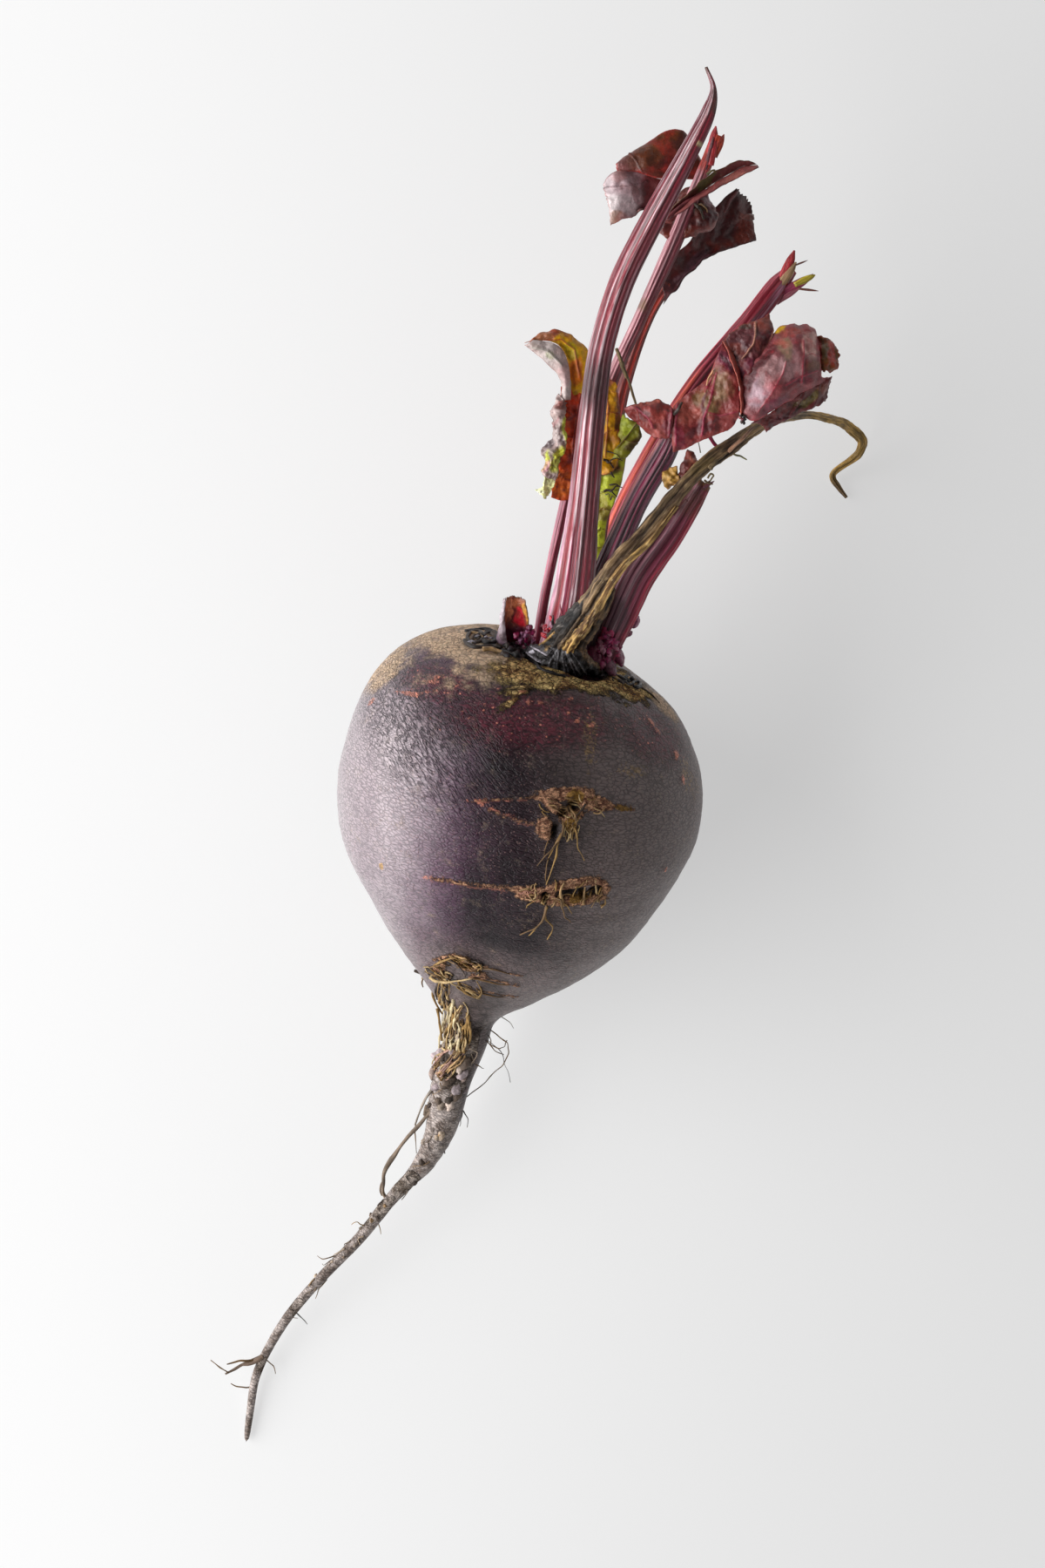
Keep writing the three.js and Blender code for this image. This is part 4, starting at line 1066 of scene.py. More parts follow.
front_husk = [
    sheet((front_low, front_mid, front_high), 92, 42, (34, 30, 31), None,
        ((15.8, 33.2, 4.6, 1.5, -42, (118, 90, 60), 0.95), (10, 29, 10, 0.7, (16, 14, 16), 0.95),
         (5.6, 33.8, 2, 1, 40, (120, 92, 58), 0.7)),
        fan, (140, 136, 140), (18, 16, 17), 0.9, 0.7, 1.3, (0.01, 0.02, 0.05, 0.05), 3),
    sheet(  # a silvery scale over the husk's left end
        (((0.6, 33.6, 59.6), (2.6, 32, 62.2), (4.8, 31.2, 64)),
         ((1.2, 34.8, 60.6), (3.4, 33.8, 64.4), (6, 32.8, 66.4)),
         ((2.2, 36.2, 60.8), (4.6, 36, 65), (7.4, 35, 67.6))),
        36, 28, (58, 54, 58), None,
        ((2.2, 34.8, 0.8, 0.4, 40, (226, 220, 232), 0.9), (4.6, 32.4, 1.2, 0.3, -30, (200, 194, 206), 0.8),
         (3, 33.2, 0.5, 1.4, -40, (40, 36, 40), 0.9), (4.6, 33.6, 1.6, 0.6, -30, (36, 32, 34), 0.95),
         (5.6, 35, 1, 0.5, 30, (150, 116, 66), 0.9)),
        (((((1.4, 34.2), (3.4, 32.6), (5.6, 31.4)), 0.2)), (((2.6, 35.2), (4.4, 34.2), (6.6, 33)), 0.2)),
        (196, 188, 198), (50, 44, 44), 0.7, 0.4, 1.6, (0.02, 0.02, 0.04, 0.1), 9),
    strand([(3.6, 35, 61), (6, 37.2, 65.5), (9, 39.8, 71)], 0.6, (176, 138, 84), 11, 0.1, 0.6, 10),
    strand([(4.6, 34, 61.5), (7, 36.2, 66), (9.6, 38.4, 70)], 0.7, (46, 36, 28), 12, 0.1, 0.5, 10),
    strand(on_root(((-4.8, 34.6), (-2, 33.4), (1.2, 32.8), (3.6, 30.6), (6.8, 29), (10, 28.4)), 0.3), 0.5,
        BLACK, 13, 0.2, 0.8, 10),
]
front_husk += crowd(26, (-1.6, 34.6), (3.4, 1.9), (0.5, 1.3), (BLACK, BLACK, SOOT, (40, 34, 40)), 14, 0.8)
front_husk += crowd(10, (1.0, 33.8), (2.2, 1.4), (0.25, 0.6), (SILVER, SOOT), 15, 1.4)
make_piece("husk_front", front_husk, husk, "old_base_front")

right_husk = [
    curl(25.4, 27.6, 1.0, 0.5, SOOT, 30, 300, 21), curl(27.2, 26.8, 0.8, 0.45, BLACK, 220, 290, 22),
    strand(on_root(((20, 30.2), (21.6, 29.4), (23.4, 28.4), (24.6, 27.6)), 0.4), 0.7, BLACK, 23, 0.15, 0.8,
        10),
    strand(on_root(((27.6, 26.4), (29.4, 25.4), (31.2, 24), (32.8, 22.4)), 0.2), 0.45, HUSK_BROWN, 24, 0.1,
        0.4),
    strand(on_root(((22, 28.2), (25, 26.4), (28.6, 24.8)), 0.2), 0.35, OCHRE, 25, 0.15, 0.4),
]
right_husk += crowd(14, (24.4, 28), (3.6, 1.0), (0.3, 0.75), (BLACK, SOOT, HUSK_BROWN, TAN), 26, 0.2)
make_piece("husk_right", right_husk, husk, "old_base_right")

MAGENTA, LILAC, CRIMSON = (138, 28, 78), (168, 104, 142), (196, 20, 44)
short_stalk, long_stalk = (
    BVHTree.FromPolygons(part[0].tolist(), part[1])
    for part in (swept(STALKS["stalk_short"], 40), swept(STALKS["stalk_long"], 40))
)
crown_tissue = crowd(
    110, (1.0, 38.2), (3.6, 3.6), (0.3, 0.95), (MAGENTA, LILAC, (96, 24, 56), (150, 66, 110)), 31, 2.6,
)
# The crumbs beside the short stalk are lighter than their own colour: painted light where they lie in
# shade.
crown_tissue += crowd(
    130, (18.8, 35), (4.6, 4.8), (0.25, 0.85),
    ((176, 58, 112), (150, 34, 84), (206, 60, 112), (226, 150, 176)), 32, 0.3, short_stalk,
)
crown_tissue += crowd(
    16, (5.6, 39.2), (1.8, 1.6), (0.3, 0.8), (CRIMSON, (150, 16, 40), (96, 20, 36)), 33, 0.5, long_stalk,
)
crown_tissue += crowd(
    14, (9.5, 41), (3.4, 2.2), (0.25, 0.6), ((170, 120, 140), (120, 90, 76), CRIMSON), 34, 0.2, long_stalk,
)
rng = random.Random(44)
for k in range(34):  # the soft crumbs that fill the foot of the torn stub
    share, over = rng.random(), rng.random()
    spot = (-1.8 + 4.6 * over, 36.4 + 4.4 * share * (0.4 + 0.6 * over), 57.4 + 3.2 * share)
    crown_tissue.append(
        clod(spot, (rng.uniform(0.3, 0.8),) * 3,
            rng.choice((MAGENTA, LILAC, (110, 24, 60))), 0, 90 + k, 0.4)
    )
crown_tissue += [
    clod((26.6, 41.4, 55), (1.7, 1.2, 1.4), (158, 60, 104), 50, 35),
    clod((24.8, 38.8, 54), (1.5, 1.1, 1.4), MAGENTA, 30, 36),
    clod((27, 43.2, 56), (1, 0.8, 1.2), (176, 96, 132), 70, 37),
    clod((22.4, 34, 54), (1.6, 3.2, 1.6), (120, 34, 72), 20, 38),
    clod((20.8, 31, 55.5), (1.5, 2.4, 1.2), (126, 72, 92), 30, 39),
    clod((16.6, 33.6, 56.4), (1.6, 2.2, 1.2), (132, 22, 70), 10, 40),
    strand([(7.2, 40.6, 68), (7.1, 41.6, 69), (7.2, 42.6, 69.6)], 0.4, (24, 20, 22), 41, 0.05, 0.4),
    strand([(10, 40, 69), (9.4, 42.6, 70.5), (8.8, 45.2, 71)], 0.35, (150, 40, 60), 42, 0.08, 0.3),
]
make_piece("crown_tissue", crown_tissue, soft_tissue, None)


# ---- The dried stem ----
# A stalk that withered to a brown, twisted strand, forked at its foot. It arches over its neighbours
# and curls down to the surface, where its tip rests.
STEM_MAIN = (
    (8.4, 34.6, 65.5, 1.6, 1.2), (11.4, 39, 70, 2.1, 1.5), (15.2, 44.6, 75, 2.1, 1.5),
    (18.4, 49.6, 78, 2.1, 1.4), (22.2, 54.6, 79.2, 2.3, 1.4), (28.4, 61.4, 79.2, 2.3, 1.3),
    (40, 75, 78, 2, 1.2), (50, 83, 73, 1.7, 1.1), (58, 88.5, 62, 1.2, 0.9), (67.5, 92, 43, 1.1, 0.9),
    (75.5, 92.5, 26, 1.2, 0.9), (81.5, 91.5, 13, 1.4, 0.9), (85, 88.5, 7, 1.3, 0.9),
    (84, 85.5, 4.5, 1.1, 0.8), (78, 80.5, 2, 0.8, 0.7), (79.5, 77.5, 1.4, 0.7, 0.6),
    (81.5, 75, 0.8, 0.4, 0.4),
)
STEM_RIDGE = (
    (10.2, 33.6, 66.2, 1.1, 0.8), (11.6, 36, 69.4, 1.3, 1), (14.7, 40, 73.6, 1.25, 1),
    (18.2, 45.3, 77, 1.15, 1), (20.6, 49.5, 79.4, 1, 0.9), (24, 54.2, 80.6, 0.9, 0.7),
    (29, 58.6, 80.6, 0.7, 0.6), (36, 67.6, 79.8, 0.5, 0.5),
)
STEM_DARK = (
    (6.6, 34.4, 63.8, 2.2, 1.2), (9.4, 38, 68.6, 2.7, 1.4), (12.4, 42, 72.8, 2.3, 1.3),
    (16, 46.6, 76, 1.2, 0.8),
)
STEM_RIGHT = (
    (12.8, 35.6, 67, 1.9, 1), (15.8, 40, 71.4, 2, 1.2), (18.8, 44.4, 75, 1.6, 1.1),
    (21, 48.6, 78, 0.9, 0.7),
)
dried_stem = tissue_material(
    "dried_stem", roughness=0.6, depth=0.001, stretch=0.12, scale=1300, dark=0.45, light=1.45,
    specular=0.4, soft=0.1,
)


def withered(stations, tone, dark, fleck, spots, seed, depth=0.16):
    """A shrivelled strand: deep twisting furrows in painted shade, a crusty surface and painted glints."""
    def furrows(turn, run, at):
        twist = 0.07 * run + 0.6 * np.sin(run / 6 + seed)
        round_it = np.stack([2 * np.sin(turn) + 0 * run, 2 * np.cos(turn) + 0 * run, run + 0 * turn], -1)
        crust = 0.26 * crumbs(round_it, 1.2, seed) + 0.2 * lumps(round_it * (0.5, 0.5, 1), 2.6, seed + 1)
        crust = crust * (1 - 0.75 * ramp(run, 12, 24))
        fine_furrows = 0.35 * np.cos(15 * turn + 1.3 * twist + crust)
        main_furrows = np.cos(4 * turn + twist) + 0.5 * np.cos(7 * turn - 0.7 * twist)
        return depth * (main_furrows + fine_furrows - 1) + crust

    points, faces, values = swept(stations, 56, 16, furrows, seed, 0.1, 0.2)
    grain = values["grain"] / MM
    streak = crumbs(grain * (1.8, 1.8, 0.14), 1.0, seed)
    amount = ramp(values["rib"] / depth + 1.3 * streak, -2.0, 0.3)
    colours = spotted(points, tinted(plain_tone(points, dark), amount, tone), spots, seed)
    colours = tinted(colours, 0.45 * ramp(crumbs(points, 0.9, seed + 5), 0.4, 0.9), fleck)
    return points, faces, {"grain": values["grain"], "paint": np.clip(colours, DARKEST, 1)}


stem_parts = [
    withered(STEM_MAIN, (148, 120, 86), (76, 56, 40), (188, 160, 118),
        ((9, 37.6, 3.6, 5, -30, (70, 54, 42), 0.85), (58, 88, 9, 3, 20, (160, 130, 84), 0.6),
         (78, 88, 10, 9, (190, 150, 70), 0.75), (42, 77, 4, 1.5, 45, (120, 100, 60), 0.6)),
        3),
    withered(STEM_RIDGE, (204, 164, 98), (104, 72, 40), (232, 204, 146), (), 5, 0.12),
    withered(STEM_DARK, (56, 48, 42), (20, 17, 17), (150, 142, 138), (), 7, 0.14),
    withered(STEM_RIGHT, (112, 86, 58), (44, 32, 26), (150, 122, 86), (), 8, 0.14),
    strand([(48, 80.6, 75.5), (51.5, 83.6, 75.8), (54, 86.6, 72)], 0.6, (176, 132, 104), 8, 0.15, 0.5, 10),
    strand([(43.6, 76.4, 78.6), (44.6, 77.4, 78.6), (45.2, 78.4, 78.2)], 0.7, (120, 100, 70), 9, 0.15, 0.6,
        10),
]
make_piece("withered_stem", stem_parts, dried_stem, "stalk_dried")
withered_thread = strands(
    1,
    ([(22, 105, 72.5), (23.2, 101.6, 73), (24.5, 98, 73.5), (26, 93.4, 75), (27.5, 89, 76)], 0.42,
     (146, 122, 84), 0.12, 0.8),
    ([(23.3, 101.6, 73.2), (23.8, 99.8, 73.6), (24.5, 98, 73.6)], 0.55, (128, 106, 70), 0.1, 0.6),
)
make_piece("withered_thread", withered_thread, dried_stem, "dried_thread")


# ---- The leaf remnants ----
# Thin blades torn off short, crinkled between their veins, some folded or curled. They wither from
# maroon through red to yellow and green, and the pale underside shows where a blade rolled over.
UNDERSIDE = (120, 62, 56)
leaf_skin = tissue_material(
    "leaf_skin", roughness=0.42, depth=0.0005, scale=520, coat=0.15, dark=0.74, light=1.22, specular=0.4,
    soft=0.16,
)
glossy_leaf = tissue_material(
    "glossy_leaf", roughness=0.36, depth=0.0005, scale=480, coat=0.25, dark=0.66, light=1.25,
    specular=0.4, soft=0.12,
)

top_left = [
    sheet(  # the dark upper half, folded over along the crease
        (((22, 145.6, 78.6), (26, 145.6, 79), (31, 144, 79), (37, 144, 77.5), (42, 144, 75.5)),
         ((21.6, 146.6, 79.4), (26.4, 148.6, 80), (31.4, 149.6, 79.6), (36.6, 149.6, 78.6),
          (41.6, 148, 76)),
         ((22.6, 147.6, 78.6), (28.6, 152.2, 78.6), (34.6, 155.4, 78), (37.4, 155.2, 77.4),
          (39.4, 152.6, 76))),
        76, 42, (96, 40, 28), UNDERSIDE,
        ((24, 147, 3.4, 1.6, 30, (132, 84, 84), 0.7), (33, 153, 5, 2, 30, (108, 56, 26), 0.7),
         (36, 147, 4, 3, (76, 28, 28), 0.6), (29, 149, 5, 2.4, 20, (104, 60, 32), 0.5)),
        ((((28.4, 144.6), (26.4, 148), (24.6, 150)), 0.12),), (62, 22, 24), (176, 44, 40), 0.5, 0.6, 7,
        (0.02, 0, 0, 0.015), 3),
    sheet(  # the silvery lower half
        (((18.3, 142.4, 78.4), (21.4, 145.2, 79), (26, 145.7, 78.4), (31, 144.2, 78), (36, 143.6, 76.5)),
         ((19, 139.4, 80), (23.4, 140.6, 80.6), (27.2, 140.6, 79), (31.5, 139.6, 77.6), (36, 139, 76)),
         ((19.8, 137, 80), (23.4, 137.6, 80), (26.8, 138, 78.4), (31, 136, 77), (35, 134, 76)),
         ((20.4, 132.8, 79), (22.9, 133.9, 79.6), (26.2, 135, 78.6), (28.4, 137.2, 77.4), (32, 136, 76))),
        76, 62, (112, 52, 52), UNDERSIDE,
        # the silvery patches at the lower left are a painted sheen
        ((22, 139.6, 5.4, 5.6, (216, 196, 200), 0.85), (25.4, 143, 4.4, 2.4, 30, (172, 138, 144), 0.7),
         (20.6, 137, 1.6, 3.2, (236, 222, 222), 0.8), (26, 140.4, 0.8, 3, 20, (128, 86, 92), 0.8),
         (21.6, 134.4, 1.6, 1.2, (150, 112, 92), 0.8), (31, 142, 4.4, 3.4, (96, 36, 38), 0.9),
         (30, 137, 3, 3, (80, 26, 30), 0.8)),
        ((((18.8, 141.6), (24, 141.8), (29, 143.4)), 0.12),), (128, 84, 88), (150, 84, 76), 0.5, 0.7, 5,
        (0.03, 0, 0, 0.03), 5),
    sheet(  # the part to the right of the long stalk, rolled at its edge
        (((36, 141, 74), (40, 143, 75), (43, 142, 75.4), (44.4, 139.6, 75)),
         ((34, 137, 74), (38.6, 138, 76.4), (43, 137.6, 77.6), (45.4, 137, 76)),
         ((32.6, 133.6, 75), (37, 133.6, 77), (42.4, 134.2, 78), (45.6, 135, 76)),
         ((32.2, 131.4, 75), (35.6, 129.2, 76.4), (38.4, 130, 76.6), (42.6, 132.4, 75))),
        56, 56, (94, 34, 30), UNDERSIDE,
        ((41, 137.4, 2, 1.6, (60, 42, 24), 0.9), (44, 135.4, 1.6, 2.2, (70, 26, 34), 0.8),
         (43.4, 139.6, 1, 2, (142, 100, 110), 0.7), (36, 131, 3, 1.2, (116, 48, 30), 0.7),
         (40.6, 133.6, 2.4, 1.2, -20, (64, 20, 24), 0.7)),
        ((((33, 133), (37.4, 135.2), (41.6, 137.6)), 0.14),), (60, 22, 24), (150, 84, 76), 0.5, 0.8, 3.6,
        (0, 0.06, 0.02, 0.06), 7),
    strand([(39.8, 138.6, 77.5), (41, 137.2, 78.8), (41.8, 136, 79), (42.2, 134.4, 78.6)], 0.45,
        (60, 44, 26), 8, 0.3, 0.5),
    strand([(41, 138, 78), (42.4, 137.4, 79), (43, 136, 79)], 0.3, (150, 110, 60), 9, 0.25, 0.4),
]
make_piece("blade_top_left", top_left, glossy_leaf, "leaf_top_left")

strip = [
    sheet((((34, 136, 82), (37, 138.8, 83), (40.5, 142.4, 83.4), (46.4, 146.2, 83.4), (51, 147.7, 83),
            (53.4, 147.3, 82.4)),
           ((34, 135.4, 81), (38.4, 138.4, 81.6), (42.6, 141.2, 81.8), (47.4, 144.2, 81.8),
            (51.6, 146.4, 81.8), (54.4, 146.8, 82))),
        70, 18, (104, 44, 44), UNDERSIDE,
        ((41.4, 142.4, 5, 0.9, 42, (92, 84, 40), 0.9), (38, 139.4, 3, 1, 40, (84, 30, 30), 0.8)), (), None,
        (110, 80, 54), 0.45, 0.25, 3.0, (0, 0.01, 0.25, 0.0), 3),
    sheet((((34, 135.2, 81.2), (38.4, 138.2, 81.8), (42.6, 141, 82), (47.4, 144, 82), (51.6, 146.2, 82),
            (54.6, 146.6, 82)),
           ((33.4, 133.6, 82.4), (37.6, 136, 83.4), (42.2, 139, 83.6), (47, 141.8, 83.6), (51.4, 144, 83.2),
            (54.9, 146, 82.6))),
        70, 18, (150, 76, 74), UNDERSIDE,
        ((50, 143.6, 4, 1, 25, (190, 112, 100), 0.7),), (), None, (86, 30, 34), 0.45, 0.25, 3.0,
        (0, 0.01, 0.0, 0.1), 4),
    strand([(33.4, 134, 82.6), (38, 137.8, 82.4), (43, 140.8, 82.4), (48, 143.8, 82.4), (53, 146.2, 82.2)],
        0.5, (116, 52, 56), 5, 0.08, 0.4, 10),
    strand([(42.8, 144.2, 83.2), (43.8, 145, 83.8), (44.6, 145.2, 83.6)], 0.35, (104, 92, 54), 6, 0.1, 0.4),
]
make_piece("blade_strip", strip, leaf_skin, "leaf_top_strip")

top_right = [
    sheet((((32.6, 121.6, 68.6), (35.6, 126.4, 68.6), (38.8, 130, 68), (42, 134, 67.6), (45.4, 138.8, 67),
            (51, 144.3, 65)),
           ((33, 119.6, 68), (37, 124.6, 67), (41, 128.6, 65.8), (45.4, 132.8, 65), (49, 137, 64.4),
            (53, 142.6, 63.6)),
           ((33.4, 117.6, 68.4), (38, 122.8, 67), (42.6, 127, 65.4), (47.6, 131, 64), (51.4, 135, 63),
            (54.6, 140.6, 62)),
           ((33, 115.4, 68.6), (37.4, 121.4, 68), (43, 126.8, 67), (48, 129.2, 65), (52, 130.2, 63.4),
            (55.4, 131.6, 61.6))),
        98, 62, (86, 28, 28), UNDERSIDE,
        # the lilac-grey patches at the lower left are a painted sheen
        ((50, 140.4, 4, 3, 50, (78, 34, 32), 0.7), (48, 131, 6, 1.5, 8, (106, 44, 36), 0.9),
         (53, 134, 2.4, 4, (118, 50, 38), 0.85), (47, 134, 4, 3, (64, 20, 22), 0.7),
         (40, 124.6, 6, 1.6, 50, (112, 76, 88), 0.7), (35, 119, 3, 2.5, 50, (96, 50, 56), 0.7)),
        ((((50.6, 143), (48.8, 140.6), (47.6, 138)), 0.3),), (132, 92, 92), (52, 18, 20), 0.5, 0.8, 4.6,
        (0, 0.04, 0.01, 0.03), 3),
    sheet(  # the corner that crumpled over
        (((51, 138.4, 64.4), (53, 137.4, 65), (54.8, 137.6, 64)),
         ((51.4, 136.4, 65), (53.2, 135.8, 66), (54.8, 136, 65))),
        18, 14, (112, 66, 60), (100, 50, 46), (), (), None, (60, 26, 24), 0.4, 0.5, 2.0, (0, 0.1, 0, 0.1),
        6),
]
make_piece("blade_top_right", top_right, leaf_skin, "leaf_top_right")

